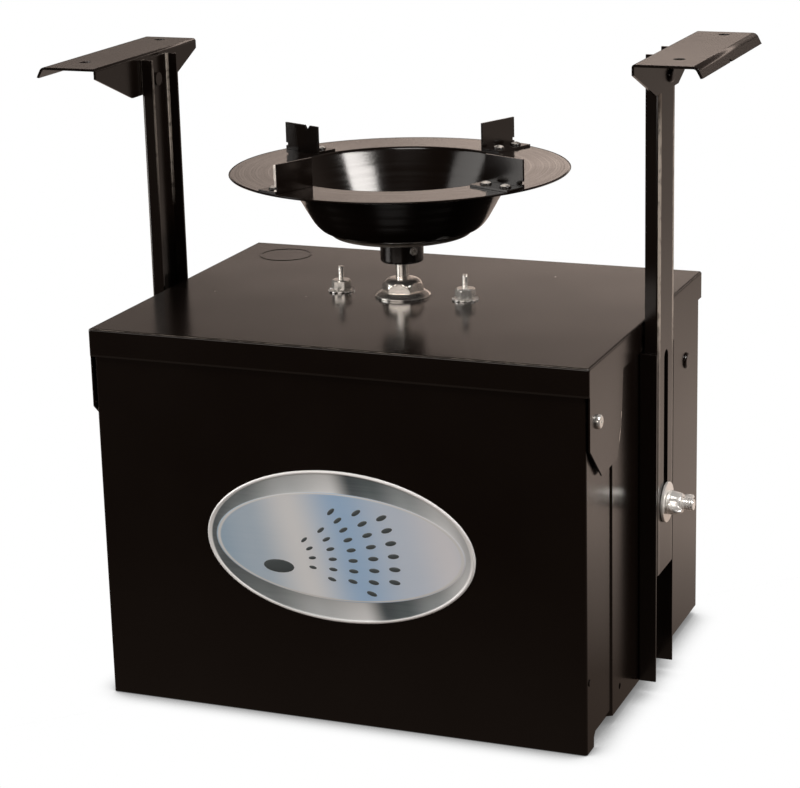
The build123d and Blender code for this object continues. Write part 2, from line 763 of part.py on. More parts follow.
with BuildPart() as vane_rivets:
    for number in range(4):
        turn = vane_base_angle + 90 * number
        frame = Plane((spin_x, spin_y, bowl_rim_z)).rotated((0, 0, turn))
        for r in (vane_inner + 5.5, vane_outer - 5.5):
            place = frame.from_local_coords(Vector(r, -vane_foot * 0.58, 0))
            for low, high, radius in ((vane_sheet, vane_sheet + 1.5, 2.7),
                                      (-bowl_sheet, vane_sheet, 1.55),
                                      (-bowl_sheet - 0.9, -bowl_sheet, 2.4)):
                with BuildSketch(Plane((place.X, place.Y, bowl_rim_z + low))):
                    Circle(radius)
                extrude(amount=high - low)
    fillet(vane_rivets.edges().filter_by(GeomType.CIRCLE).group_by(Axis.Z)[-1], 1.1)
save(vane_rivets, "vane_rivets")

# ---------------------------------------------------------------- battery

battery_top = floor_top + battery_height
post_places = ((battery_x, battery_y), (battery_x + 22, battery_y - 22))
post_height = 8.0
clip_reach = 14.0           # from a post's middle to the end of its clip
with BuildPart() as battery:
    with BuildSketch(Plane.XY.offset(floor_top)) as battery_plan:
        with Locations((battery_x, battery_y)):
            Rectangle(battery_side, battery_side)
        fillet(battery_plan.vertices(), 6)
    extrude(amount=battery_height)
    fillet(battery.edges().group_by(Axis.Z)[-1], 1.5)
save(battery, "battery")

with BuildPart() as battery_posts:
    for x, y in post_places:
        with BuildSketch(Plane.XZ.offset(-y)):
            with BuildLine():
                turns = 4
                rise = post_height / turns
                outline = [(x, battery_top)]
                for k in range(turns):
                    reach = 5.4 - 0.7 * k
                    outline.append((x + reach - 0.7, battery_top + rise * k))
                    outline.append((x + reach, battery_top + rise * (k + 0.5)))
                outline.append((x + 2.4, battery_top + post_height))
                outline.append((x, battery_top + post_height))
                Polyline(outline, close=True)
            make_face()
        revolve(axis=Axis((x, y, 0), (0, 0, 1)))
save(battery_posts, "battery_posts")

with BuildPart() as lead_clips:
    for x, y in post_places:
        with BuildSketch(Plane.XY.offset(battery_top + post_height)) as clip_plan:
            with Locations((x + clip_reach - 9, y)):
                Rectangle(18, 7)
            fillet(clip_plan.vertices(), 1.5)
        extrude(amount=5)
save(lead_clips, "lead_clips")

stop_height = 22.0
with BuildPart() as battery_stop:
    with BuildSketch(Plane.XZ.offset(-(battery_y - battery_side / 2 - 0.1))) as stop_section:
        with Locations((battery_x, floor_top + stop_height / 2)):
            Rectangle(50, stop_height)
        fillet(stop_section.vertices().group_by(Axis.Y)[-1], 4)
    extrude(amount=1.2)
    with Locations((battery_x, battery_y - battery_side / 2 - 0.1 - 8, floor_top + 0.6)):
        Box(50, 16, 1.2)
save(battery_stop, "battery_stop")

# ---------------------------------------------------------------- timer

timer_back_y = timer_front + timer_depth
timer_mid_z = timer_bottom + timer_height / 2
window_z = timer_bottom + 64.0
window_width = 40.0
window_height = 18.0
timer_plane = Plane(origin=(timer_x, timer_front, 0), x_dir=(1, 0, 0), z_dir=(0, -1, 0))
button_places = [(way * button_offset, z) for z in button_rows for way in (-1, 1)]
timer_screw_heights = (timer_bottom + 12, timer_bottom + 62)

with BuildPart() as timer_case:
    with BuildSketch(timer_plane.offset(-timer_depth)) as case_plan:
        with Locations((0, timer_mid_z)):
            Rectangle(timer_width, timer_height)
        fillet(case_plan.vertices(), 4)
    extrude(amount=timer_depth)
    fillet(timer_case.edges().group_by(Axis.Y)[0], 1.5)
    with BuildSketch(timer_plane.offset(-timer_depth)) as case_hollow:
        with Locations((0, timer_mid_z)):
            Rectangle(timer_width - 2 * timer_wall, timer_height - 2 * timer_wall)
        fillet(case_hollow.vertices(), 2)
    extrude(amount=timer_depth - timer_wall, mode=Mode.SUBTRACT)
    with BuildSketch(timer_plane.offset(-5)):
        with Locations((0, window_z)):
            Rectangle(window_width, window_height)
        with Locations(*button_places):
            Circle(button_radius + 0.1)
    extrude(amount=10, mode=Mode.SUBTRACT)
    # Lead holes in the left wall.
    for z in (timer_bottom + 12, timer_bottom + 18, timer_bottom + 40, timer_bottom + 46):
        with Locations(Location((timer_x - timer_width / 2, timer_back_y - 10, z), (0, 90, 0))):
            Cylinder(1.25, 6, mode=Mode.SUBTRACT)
save(timer_case, "timer_case")

with BuildPart() as timer_back:
    with BuildSketch(timer_plane.offset(-timer_depth - 1.5)) as back_plan:
        with Locations((0, timer_mid_z)):
            Rectangle(timer_width, timer_height)
        fillet(back_plan.vertices(), 4)
        with Locations(*[(0, z) for z in timer_screw_heights]):
            Circle(1.55, mode=Mode.SUBTRACT)
    extrude(amount=1.5)
save(timer_back, "timer_back")

with BuildPart() as timer_board:
    with BuildSketch(timer_plane.offset(-9.6)) as board_plan:
        with Locations((0, timer_mid_z)):
            Rectangle(timer_width - 2 * timer_wall - 1, timer_height - 2 * timer_wall - 1)
        fillet(board_plan.vertices(), 2)
    extrude(amount=1.6)
    with BuildSketch(timer_plane.offset(-14)):
        with Locations((10, timer_bottom + 34)):
            Rectangle(16, 19)
    extrude(amount=4.4)
save(timer_board, "timer_board")

with BuildPart() as timer_display:
    with BuildSketch(timer_plane.offset(-6.5)):
        with Locations((0, window_z)):
            Rectangle(window_width + 6, window_height + 5)
    extrude(amount=4.4)
    with BuildSketch(timer_plane.offset(-2.2)):
        with Locations((0, window_z)):
            Rectangle(window_width - 0.4, window_height - 0.4)
    extrude(amount=1.8)
save(timer_display, "timer_display")

button_names = ("down_button", "up_button", "mode_button", "test_button")
for name, (offset_x, z) in zip(button_names, button_places):
    with BuildPart() as button:
        with BuildSketch(timer_plane.offset(-timer_wall - 1.4)):
            with Locations((offset_x, z)):
                Circle(button_radius + 1.2)
        extrude(amount=1.2)
        with BuildSketch(timer_plane.offset(-timer_wall - 0.4)):
            with Locations((offset_x, z)):
                Circle(button_radius)
        extrude(amount=timer_wall + 0.4 + button_proud)
        fillet(button.edges().group_by(Axis.Y)[0], 0.7)
    save(button, name)

with BuildPart() as timer_bracket:
    bracket_front = timer_back_y + 1.5
    with BuildSketch(Plane.XZ.offset(-bracket_front)) as bracket_plan:
        with Locations((timer_x, (floor_top + timer_bottom + timer_height - 8) / 2)):
            Rectangle(44, timer_bottom + timer_height - 8 - floor_top)
        fillet(bracket_plan.vertices().group_by(Axis.Y)[-1], 6)
    extrude(amount=-1.2)
    with Locations((timer_x, bracket_front + 12, floor_top + 0.6)):
        Box(44, 24, 1.2)
    for z in timer_screw_heights:
        with Locations(Location((timer_x, bracket_front, z), (90, 0, 0))):
            Cylinder(1.65, 6, mode=Mode.SUBTRACT)
save(timer_bracket, "timer_bracket")

with BuildPart() as timer_screws:
    for z in timer_screw_heights:
        with Locations(Location((timer_x, bracket_front + 1.2 + 1.0, z), (90, 0, 0))):
            Cylinder(3.0, 2.0)
        with Locations(Location((timer_x, bracket_front, z), (90, 0, 0))):
            Cylinder(1.5, 3.0)
save(timer_screws, "timer_screws")

# ---------------------------------------------------------------- leads between timer, battery and motor

lead_radius = 1.1
lead_y = timer_back_y - 10
lead_start = timer_x - timer_width / 2 + 0.5
lead_exit = timer_x - timer_width / 2 - 14
clip_level = battery_top + post_height + 2.5


def make_lead(name, route):
    """A round lead along straight runs joined by the largest arcs that the runs allow."""
    points = [Vector(p) for p in route]
    radii = []
    for before, corner, after in zip(points, points[1:], points[2:]):
        shorter = min((corner - before).length, (after - corner).length)
        half_turn = radians((corner - before).get_angle(after - corner)) / 2
        radii.append(min(0.45 * shorter / tan(half_turn), 30.0))
    with BuildPart() as lead:
        with BuildLine() as path:
            FilletPolyline(*points, radius=radii)
        with BuildSketch(Plane(origin=path.wire() @ 0, z_dir=path.wire() % 0)):
            Circle(lead_radius)
        sweep()
    save(lead, name)


make_lead(
    "motor_lead_red",
    [(lead_start, lead_y, timer_bottom + 46), (lead_exit, lead_y, timer_bottom + 46),
     (tab_places[1][0], spin_y, 90), (tab_places[1][0], spin_y, tab_bottom)],
)
make_lead(
    "motor_lead_black",
    [(lead_start, lead_y, timer_bottom + 40), (lead_exit, lead_y, timer_bottom + 40), (0, 4, 77),
     (tab_places[0][0], spin_y, 90), (tab_places[0][0], spin_y, tab_bottom)],
)
make_lead(
    "battery_lead_red",
    [(lead_start, lead_y, timer_bottom + 18), (lead_exit, lead_y, timer_bottom + 18), (-6, 16, 70),
     (-23, 6, 100), (-38, battery_y, clip_level), (post_places[0][0] + clip_reach, battery_y, clip_level)],
)
make_lead(
    "battery_lead_black",
    [(lead_start, lead_y, timer_bottom + 12), (lead_exit, lead_y, timer_bottom + 12), (4, -12, 60),
     (-11, -24, 88), (-16, -30, clip_level), (post_places[1][0] + clip_reach, -30, clip_level)],
)
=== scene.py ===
"""Looks of the spin cast feeder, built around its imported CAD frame.

The frame gives every place and size. Sheet metal and cases keep their CAD shape under a procedural finish,
and the legs, feet, rails and vanes get softened edges. Most fasteners, the spun bowl, the badge, the springs,
the clips and the timer's front are modelled here. Metres, +X right, +Y back, +Z up.
"""
import json
from math import cos, pi, radians, sin

import bmesh
import bpy
from mathutils import Matrix, Vector

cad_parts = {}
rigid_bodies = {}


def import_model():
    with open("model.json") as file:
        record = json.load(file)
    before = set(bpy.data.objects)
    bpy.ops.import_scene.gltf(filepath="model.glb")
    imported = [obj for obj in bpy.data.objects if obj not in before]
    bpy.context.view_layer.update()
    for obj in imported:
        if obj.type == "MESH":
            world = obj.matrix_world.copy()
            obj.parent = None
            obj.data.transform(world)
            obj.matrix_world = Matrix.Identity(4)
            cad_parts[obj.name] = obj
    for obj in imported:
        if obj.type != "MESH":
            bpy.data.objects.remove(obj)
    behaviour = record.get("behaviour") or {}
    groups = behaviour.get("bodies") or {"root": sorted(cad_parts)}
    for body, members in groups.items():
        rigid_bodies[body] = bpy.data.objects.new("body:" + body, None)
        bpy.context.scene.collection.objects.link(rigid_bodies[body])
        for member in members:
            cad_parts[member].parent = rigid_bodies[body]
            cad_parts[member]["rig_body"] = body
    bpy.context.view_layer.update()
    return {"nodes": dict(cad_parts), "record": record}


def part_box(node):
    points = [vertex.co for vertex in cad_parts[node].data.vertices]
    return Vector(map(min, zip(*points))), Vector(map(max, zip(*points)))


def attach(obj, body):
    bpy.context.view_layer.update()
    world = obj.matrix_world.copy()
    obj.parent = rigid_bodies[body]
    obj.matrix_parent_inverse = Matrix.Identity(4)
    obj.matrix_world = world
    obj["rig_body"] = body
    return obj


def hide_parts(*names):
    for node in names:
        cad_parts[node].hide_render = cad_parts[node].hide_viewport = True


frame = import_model()
nodes = frame["nodes"]
mm = 0.001


# ---------------------------------------------------------------- node and mesh helpers

def add(tree, kind, values=None, **settings):
    """New shader node. values sets inputs by name or number: it links a socket and assigns anything else."""
    node = tree.nodes.new("ShaderNode" + kind)
    for key, value in settings.items():
        setattr(node, key, value)
    for key, value in (values or {}).items():
        if isinstance(value, bpy.types.NodeSocket):
            tree.links.new(value, node.inputs[key])
        else:
            node.inputs[key].default_value = value
    return node


def math_node(tree, operation, first, second=0.0):
    return add(tree, "Math", {0: first, 1: second}, operation=operation).outputs[0]


def times(tree, first, *others):
    for other in others:
        first = math_node(tree, "MULTIPLY", first, other)
    return first


def plus(tree, first, second):
    return math_node(tree, "ADD", first, second)


def minus(tree, first, second):
    return math_node(tree, "SUBTRACT", first, second)


def above(tree, value, limit):
    """1 where value is over limit, otherwise 0."""
    return math_node(tree, "GREATER_THAN", value, limit)


def below(tree, value, limit):
    """1 where value is under limit, otherwise 0."""
    return math_node(tree, "LESS_THAN", value, limit)


def between(tree, value, low, high):
    return times(tree, above(tree, value, low), below(tree, value, high))


def size_of(tree, value):
    return math_node(tree, "ABSOLUTE", value)


def larger(tree, first, second):
    return math_node(tree, "MAXIMUM", first, second)


def length_of(tree, x, y):
    squares = plus(tree, math_node(tree, "POWER", x, 2.0), math_node(tree, "POWER", y, 2.0))
    return math_node(tree, "SQRT", squares)


def ramp(tree, factor, stops, interpolation="LINEAR"):
    """Colour ramp with (position, colour) stops; a colour is a grey value or an RGB triple."""
    node = add(tree, "ValToRGB", {0: factor})
    node.color_ramp.interpolation = interpolation
    points = node.color_ramp.elements
    points[0].position, points[1].position = stops[0][0], stops[-1][0]
    for position, _ in stops[1:-1]:
        points.new(position)
    for point, (_, colour) in zip(points, stops):
        rgb = (colour,) * 3 if isinstance(colour, (int, float)) else colour
        point.color = (*rgb, 1.0)
    return node.outputs[0]


def spread(tree, value, low, high):
    """Value of 0 to 1 mapped to low to high."""
    return add(tree, "MapRange", {0: value, 3: low, 4: high}).outputs[0]


def slope(tree, value, start, end, low=0.0):
    """Value mapped to low at start and 1 at end, and held beyond them."""
    return add(tree, "MapRange", {0: value, 1: start, 2: end, 3: low}).outputs[0]


def mix(tree, factor, first, second):
    """Colour mix. Colours are RGB triples or sockets."""
    values = {0: factor}
    for key, colour in ((6, first), (7, second)):
        values[key] = colour if isinstance(colour, bpy.types.NodeSocket) else (*colour, 1.0)
    return add(tree, "Mix", values, data_type="RGBA").outputs[2]


def noise(tree, place, scale, detail):
    return add(tree, "TexNoise", {"Vector": place, "Scale": scale, "Detail": detail}).outputs[0]


def new_material(name):
    made = bpy.data.materials.new(name)
    made.use_nodes = True
    return made, made.node_tree, made.node_tree.nodes["Principled BSDF"]


def mesh_object(name, shape, crease=35):
    """Object from (vertices, faces), smooth shaded but for edges sharper than crease degrees."""
    vertices, faces = shape
    mesh = bpy.data.meshes.new(name)
    mesh.from_pydata([tuple(v) for v in vertices], [], faces)
    shell = bmesh.new()
    shell.from_mesh(mesh)
    bmesh.ops.recalc_face_normals(shell, faces=shell.faces)
    shell.to_mesh(mesh)
    shell.free()
    mesh.shade_smooth()
    mesh.set_sharp_from_angle(angle=radians(crease))
    piece = bpy.data.objects.new(name, mesh)
    bpy.context.scene.collection.objects.link(piece)
    return piece


def skin_over(rings, wrap=False):
    """(vertices, faces) over rings with equally many points, capped at both ends or wrapped round."""
    count = len(rings[0])
    vertices = [point for ring in rings for point in ring]
    faces = []
    for k in range(len(rings) if wrap else len(rings) - 1):
        low, high = k * count, (k + 1) % len(rings) * count
        for i in range(count):
            j = (i + 1) % count
            faces.append((low + i, low + j, high + j, high + i))
    if not wrap:
        faces.append(tuple(range(count)))
        faces.append(tuple(range((len(rings) - 1) * count, len(rings) * count)))
    return vertices, faces


def full_turn(segments):
    """Angles of that many points round a circle."""
    return [2 * pi * i / segments for i in range(segments)]


def polar(radius, turn, height=0.0):
    """Point at that radius and angle about +Z."""
    return Vector((radius * cos(turn), radius * sin(turn), height))


def turned(profile, segments):
    """Rings of a turned piece about +Z from (radius, height) points."""
    return [[polar(r, turn, h) for turn in full_turn(segments)] for r, h in profile]


def lifted(rings, height):
    return [[v + Vector((0, 0, height)) for v in ring] for ring in rings]


def threaded(radius, low, high, pitch, depth, segments=28):
    """Rings of a threaded rod about +Z: the crest winds round as the rings go up."""
    rings = []
    steps = 8  # rings to one turn of the thread
    count = max(2, round((high - low) / pitch * steps))
    for k in range(count + 1):
        height = low + (high - low) * k / count
        fade = min(1.0, (high - height) / pitch)
        ring = []
        for i in range(segments):
            turn = i / segments
            phase = (height / pitch - turn) % 1.0
            groove = abs(2 * phase - 1)
            r = radius - depth * groove - depth * (1 - fade)
            ring.append(polar(r, 2 * pi * turn, height))
        rings.append(ring)
    return rings


def six_sided(profile, across, segments=72, start=-1.0, rotation=0.0):
    """Rings of a turned piece, cut from height start up by a hexagon that far across its flats."""
    rings = []
    for r, h in profile:
        ring = []
        for turn in full_turn(segments):
            flat = across / 2 / cos((turn - rotation) % (pi / 3) - pi / 6)
            ring.append(polar(min(r, flat) if h >= start else r, turn, h))
        rings.append(ring)
    return rings


def hexagon_nut(across, height, bore):
    """Rings of a chamfered hexagon nut about +Z, from the bore's foot round the outside and down the bore."""
    corner = across / 2 / cos(pi / 6)
    profile = [(bore, 0.0), (across / 2 * 0.97, 0.0), (corner * 0.985, height * 0.08)]
    profile += [(corner * (1 - 0.03 * (k / 4) ** 2), height * (0.7 + 0.21 * k / 4)) for k in range(5)]
    profile += [(across / 2 * 0.96, height), (bore * 1.12, height), (bore, height * 0.93)]
    return six_sided(profile, across)


def placed(parts, matrices):
    """Joins (vertices, faces) copies, one for each matrix, into one list of vertices and faces."""
    vertices, faces = [], []
    for matrix in matrices:
        for part_vertices, part_faces in parts:
            first = len(vertices)
            vertices += [matrix @ v for v in part_vertices]
            faces += [tuple(first + i for i in face) for face in part_faces]
    return vertices, faces


def frame_at(origin, axis):
    """Matrix whose +Z runs along an axis that isn't vertical, and whose +Y leans upwards."""
    z = Vector(axis).normalized()
    x = Vector((0, 0, 1)).cross(z).normalized()
    y = z.cross(x)
    matrix = Matrix((x, y, z)).transposed().to_4x4()
    matrix.translation = Vector(origin)
    return matrix


def finish(piece, material, slot, *replaced, body=None):
    """Gives a new piece its material and body, and hides the CAD nodes it stands for. slot is not used."""
    piece.data.materials.append(material)
    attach(piece, body or nodes[replaced[0]]["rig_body"])
    if replaced:
        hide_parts(*replaced)


def soften(names, width):
    """Small rounds on the sheared and folded edges of CAD nodes, by modifiers only."""
    for name in names:
        piece = nodes[name]
        weld = piece.modifiers.new("weld", "WELD")
        weld.merge_threshold = 0.002 * mm
        flats = piece.modifiers.new("flats", "DECIMATE")
        flats.decimate_type = "DISSOLVE"
        flats.angle_limit = radians(0.5)
        bevel = piece.modifiers.new("edges", "BEVEL")
        bevel.width = width
        bevel.segments = 2
        bevel.limit_method = "ANGLE"
        bevel.angle_limit = radians(38)
        bevel.harden_normals = True


# ---------------------------------------------------------------- materials

def leg_worn_highlit_mask(tree, x, y, z, patchy):
    """Mask of the legs' outer bends, and of the left leg's rear inner bend and front edge near the top: worn
    coating with a painted highlight laid along these bends and edges.
    """
    low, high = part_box("right_leg")
    sheet = 1.2 * mm
    bend = 3.6 * mm
    out = size_of(tree, x)
    bends = times(tree, above(tree, size_of(tree, y), high.y - bend), above(tree, out, high.x - 0.5 * sheet))
    rising = slope(tree, z, 160 * mm, 180 * mm, low=0.15)
    # painted highlight along the outer front bends, with worn patches in it
    outer = times(tree, bends, rising, spread(tree, patchy, 0.40, 0.85))
    from_side, from_back = minus(tree, high.x, out), minus(tree, high.y, y)
    # painted highlight in the left leg's rear inner bend and on its front edge
    crease = times(tree, between(tree, from_side, 0.5 * sheet, sheet + 1.0 * mm),
                   between(tree, from_back, 0.5 * sheet, sheet + 1.0 * mm))
    edge = times(tree, below(tree, out, low.x + 0.5 * mm), spread(tree, below(tree, y, 0.0), 0.0, 0.3))
    left = times(tree, below(tree, x, 0.0), slope(tree, z, 215 * mm, 250 * mm))
    inner = times(tree, larger(tree, crease, edge), left, spread(tree, patchy, 0.3, 0.9))
    return larger(tree, outer, inner)


def lid_chip_highlight_mask(tree, x, y, z, patchy):
    """Mask of chipped coating on the two rear edges of the lid's ears, which meet in a corner, and of painted
    highlight lines along the front hem and fold.
    """
    corner_y, corner_z = -45.5 * mm, 140.6 * mm
    ear_x, front_y = 118.9 * mm, -92.4 * mm
    back, up = minus(tree, y, corner_y), minus(tree, z, corner_z)
    lower = minus(tree, times(tree, back, 0.917), times(tree, up, 0.399))
    upper = minus(tree, times(tree, back, 0.993), times(tree, up, 0.121))
    edge = above(tree, larger(tree, lower, upper), -0.7 * mm)
    near = below(tree, size_of(tree, minus(tree, up, 1.5 * mm)), 11 * mm)
    side = above(tree, size_of(tree, x), ear_x)
    broken_bits = times(tree, edge, near, side, patchy)
    # painted highlight: a faint lighter line along the front skirt's lower edge
    hem = times(tree, below(tree, z, lid_hem + 0.9 * mm), 0.018)
    # painted highlight along the front top fold
    fold = times(tree, above(tree, z, lid_top - 0.55 * mm), spread(tree, patchy, 0.10, 0.34))
    front_lines = times(tree, below(tree, y, front_y), plus(tree, hem, fold))
    return larger(tree, broken_bits, front_lines)


def from_spin(tree, x, y):
    """Distance from the spinner's axis."""
    return length_of(tree, minus(tree, x, spin.x), minus(tree, y, spin.y))


def bowl_ring_reflection_mask(tree, x, y, z, patchy):
    """Mask of the rounded foot ring of the bowl, lightened by a painted reflection of the lid and the bright
    nuts below it.
    """
    # painted reflection: lighter along the ring's rounded lower edge
    falling = slope(tree, z, bowl_low.z + 2.2 * mm, bowl_low.z + 1.0 * mm)
    ring = times(tree, above(tree, from_spin(tree, x, y), 30.8 * mm), falling)
    return times(tree, ring, spread(tree, patchy, 0.30, 0.60))


def vane_end_highlight_mask(tree, x, y, z, patchy):
    """Mask of the outer end of the left front vane, where a broken painted highlight lies along its edge."""
    end = above(tree, from_spin(tree, x, y), 78.45 * mm)
    upright = times(tree, end, above(tree, z, bowl_high.z + 1.2 * mm))
    corner = times(tree, below(tree, x, spin.x), below(tree, y, spin.y))
    return times(tree, upright, corner, spread(tree, patchy, 0.45, 1.0))


def rivet_crown_highlight_mask(tree, x, y, z, patchy):
    """Mask of the crowns of the vanes' rivet heads, where a painted highlight lightens them."""
    crown = above(tree, z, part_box("vane_rivets")[1].z - 0.75 * mm)
    return times(tree, crown, spread(tree, patchy, 0.08, 0.75))


def powder_coat(name, wave=0.25, rings_about=None, dust_above=0.62, wear_and_sheen=None, patchiness_cut=0.42,
                under=(0.36, 0.32, 0.28)):
    """Dark brown-black satin coating with orange peel, slight waves in the sheet and a few specks of dust.

    wear_and_sheen makes a mask from object coordinates where the colour under is laid on: for some masks worn
    coating with the colour beneath it showing, for others a painted highlight, and for the bowl a painted
    reflection.
    """
    made, tree, skin = new_material(name)
    place = add(tree, "TexCoord").outputs["Object"]
    cloud = noise(tree, place, 16.0, 4.0)
    peel = noise(tree, place, 900.0, 3.0)
    waves = noise(tree, place, 13.0, 1.0)
    specks = add(tree, "TexVoronoi", {"Vector": place, "Scale": 85.0}).outputs["Distance"]
    patch = noise(tree, place, 60.0, 0.0)
    dust = times(tree, below(tree, specks, 0.045), above(tree, patch, dust_above))
    shade = mix(tree, cloud, (0.0028, 0.0016, 0.0011), (0.0054, 0.0034, 0.0025))
    colour = mix(tree, dust, shade, (0.30, 0.27, 0.24))
    if wear_and_sheen:
        parts = add(tree, "SeparateXYZ", {0: place}).outputs
        broken_bits = noise(tree, place, 260.0, 3.0)
        patchy = ramp(tree, broken_bits, [(0.0, 0.0), (patchiness_cut - 0.08, 0.08), (patchiness_cut + 0.06, 1.0), (1.0, 1.0)])
        # lays on the mask's colour: worn coating, painted highlights and the bowl's painted reflection
        colour = mix(tree, wear_and_sheen(tree, *parts, patchy), colour, under)
    tree.links.new(colour, skin.inputs["Base Color"])
    rough = plus(tree, spread(tree, cloud, 0.15, 0.25), times(tree, dust, 0.3))
    if rings_about:
        offset = add(tree, "VectorMath", {0: place, 1: rings_about}, operation="SUBTRACT").outputs[0]
        parts = add(tree, "SeparateXYZ", {0: offset}).outputs
        radius = length_of(tree, parts[0], parts[1])
        spun = add(tree, "TexNoise", {"W": radius, "Scale": 900.0, "Detail": 4.0},
                   noise_dimensions="1D").outputs[0]
        rough = plus(tree, rough, spread(tree, spun, -0.10, 0.01))
        peel = plus(tree, times(tree, spun, 0.9), peel)
    tree.links.new(rough, skin.inputs["Roughness"])
    fine = add(tree, "Bump", {"Strength": 0.5, "Distance": 0.02 * mm, "Height": peel})
    broad = add(tree, "Bump", {"Strength": wave, "Distance": 0.6 * mm, "Height": waves,
                               "Normal": fine.outputs[0]})
    tree.links.new(broad.outputs[0], skin.inputs["Normal"])
    skin.inputs["IOR"].default_value = 1.5
    return made


def metal(name, dark, light, rough, grain=(220.0, 220.0, 220.0), relief=0.01, metallic=1.0):
    """Plated or bare metal: cloudy tint, fine grain stretched by the three scales, uneven roughness."""
    made, tree, skin = new_material(name)
    place = add(tree, "TexCoord").outputs["Object"]
    cloud = noise(tree, place, 160.0, 3.0)
    stretched = add(tree, "Mapping", {"Vector": place, "Scale": grain}).outputs[0]
    lines = add(tree, "TexNoise", {"Vector": stretched, "Scale": 5.0, "Detail": 5.0,
                                   "Roughness": 0.65}).outputs[0]
    tree.links.new(mix(tree, cloud, dark, light), skin.inputs["Base Color"])
    tree.links.new(spread(tree, lines, rough[0], rough[1]), skin.inputs["Roughness"])
    bump = add(tree, "Bump", {"Strength": 0.3, "Distance": relief * mm, "Height": lines})
    tree.links.new(bump.outputs[0], skin.inputs["Normal"])
    skin.inputs["Metallic"].default_value = metallic
    return made


def plastic(name, dark, light, rough, grain=700.0, relief=0.02, cloud_scale=30.0):
    """Moulded plastic, rubber, glass or ink: fine texture and slightly uneven colour and gloss."""
    made, tree, skin = new_material(name)
    place = add(tree, "TexCoord").outputs["Object"]
    cloud = noise(tree, place, cloud_scale, 4.0)
    fine = noise(tree, place, grain, 3.0)
    tree.links.new(mix(tree, cloud, dark, light), skin.inputs["Base Color"])
    tree.links.new(spread(tree, fine, rough[0], rough[1]), skin.inputs["Roughness"])
    bump = add(tree, "Bump", {"Strength": 0.5, "Distance": relief * mm, "Height": fine})
    tree.links.new(bump.outputs[0], skin.inputs["Normal"])
    return made


def badge_foil(middle, half_x, half_z):
    """Printed foil: bright border, silver ring with soft bands, and a pale blue field inside a light line."""
    made, tree, skin = new_material("badge_foil")
    place = add(tree, "TexCoord").outputs["Object"]
    offset = add(tree, "VectorMath", {0: place, 1: middle}, operation="SUBTRACT").outputs[0]
    parts = add(tree, "SeparateXYZ", {0: offset}).outputs
    across = math_node(tree, "DIVIDE", parts[0], half_x)
    along = math_node(tree, "DIVIDE", parts[2], half_z)
    reach = length_of(tree, across, along)
    slant = plus(tree, times(tree, across, 0.46), times(tree, along, 0.07))
    slide = plus(tree, slant, 0.5)
    bands = [(0.0, (0.34, 0.38, 0.40)), (0.07, (0.08, 0.10, 0.11)), (0.20, (0.17, 0.20, 0.21)),
             (0.38, (0.52, 0.56, 0.58)), (0.525, (0.74, 0.77, 0.79)), (0.605, (0.05, 0.07, 0.08)),
             (0.67, (0.09, 0.12, 0.13)), (0.78, (0.32, 0.36, 0.38)), (0.90, (0.66, 0.69, 0.71)),
             (1.0, (0.30, 0.33, 0.35))]
    blues = [(0.0, (0.26, 0.42, 0.58)), (0.20, (0.46, 0.58, 0.70)), (0.36, (0.82, 0.85, 0.88)),
             (0.54, (0.38, 0.58, 0.84)), (0.72, (0.62, 0.72, 0.86)), (0.88, (0.80, 0.82, 0.88)),
             (1.0, (0.56, 0.66, 0.78))]
    ring = ramp(tree, slide, bands, "EASE")
    field = ramp(tree, slide, blues, "EASE")
    field_x, field_z = 0.930, 0.712
    field_reach = length_of(tree, math_node(tree, "DIVIDE", across, field_x),
                            math_node(tree, "DIVIDE", along, field_z))
    in_field = below(tree, field_reach, 1.0)
    in_border = ramp(tree, reach, [(0.0, 0.0), (0.962, 0.0), (0.970, 1.0), (1.0, 1.0)])
    brushed = add(tree, "Mapping", {"Vector": place, "Scale": (12.0, 12.0, 900.0)}).outputs[0]
    lines = noise(tree, brushed, 1.0, 4.0)
    line = ramp(tree, field_reach, [(0.0, 0.0), (0.962, 0.0), (0.972, 1.0), (0.986, 1.0), (0.996, 0.0),
                                    (1.0, 0.0)])
    ringed = mix(tree, line, mix(tree, in_field, ring, field), (0.74, 0.76, 0.77))
    print_colour = mix(tree, in_border, ringed, (0.86, 0.87, 0.88))
    grained = mix(tree, spread(tree, lines, 0.0, 0.12), print_colour, (0.85, 0.87, 0.90))
    tree.links.new(grained, skin.inputs["Base Color"])
    tree.links.new(spread(tree, lines, 0.28, 0.42), skin.inputs["Roughness"])
    skin.inputs["Metallic"].default_value = 0.15
    skin.inputs["Coat Weight"].default_value = 0.2
    return made


bowl_low, bowl_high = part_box("spinner_bowl")
spin = Vector(((bowl_low.x + bowl_high.x) / 2, (bowl_low.y + bowl_high.y) / 2, 0))
vane_angle = 66.7  # degrees from +X to the first vane
lid_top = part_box("lid")[1].z
lid_hem = lid_top - 13.3 * mm

paint = powder_coat("powder_coat", dust_above=0.9)
# lid and housing coat: dust specks, chipped ear edges and painted highlight lines at the lid's front
lid_coat_dusty_highlit = powder_coat("lid_powder_coat_dusty_highlit", wear_and_sheen=lid_chip_highlight_mask, patchiness_cut=0.54)
stiff_paint = powder_coat("powder_coat_thick", wave=0.12, dust_above=0.9)
# leg coat: worn coating and a painted highlight along the bends
leg_coat_worn_and_highlit = powder_coat("leg_powder_coat_worn_highlit", wave=0.12, dust_above=0.9, wear_and_sheen=leg_worn_highlit_mask)
# vane coat: a painted highlight at the left front vane's outer end
vane_coat_highlit = powder_coat("vane_powder_coat_highlit", wave=0.12, dust_above=0.9, wear_and_sheen=vane_end_highlight_mask,
                         under=(0.88, 0.83, 0.78))
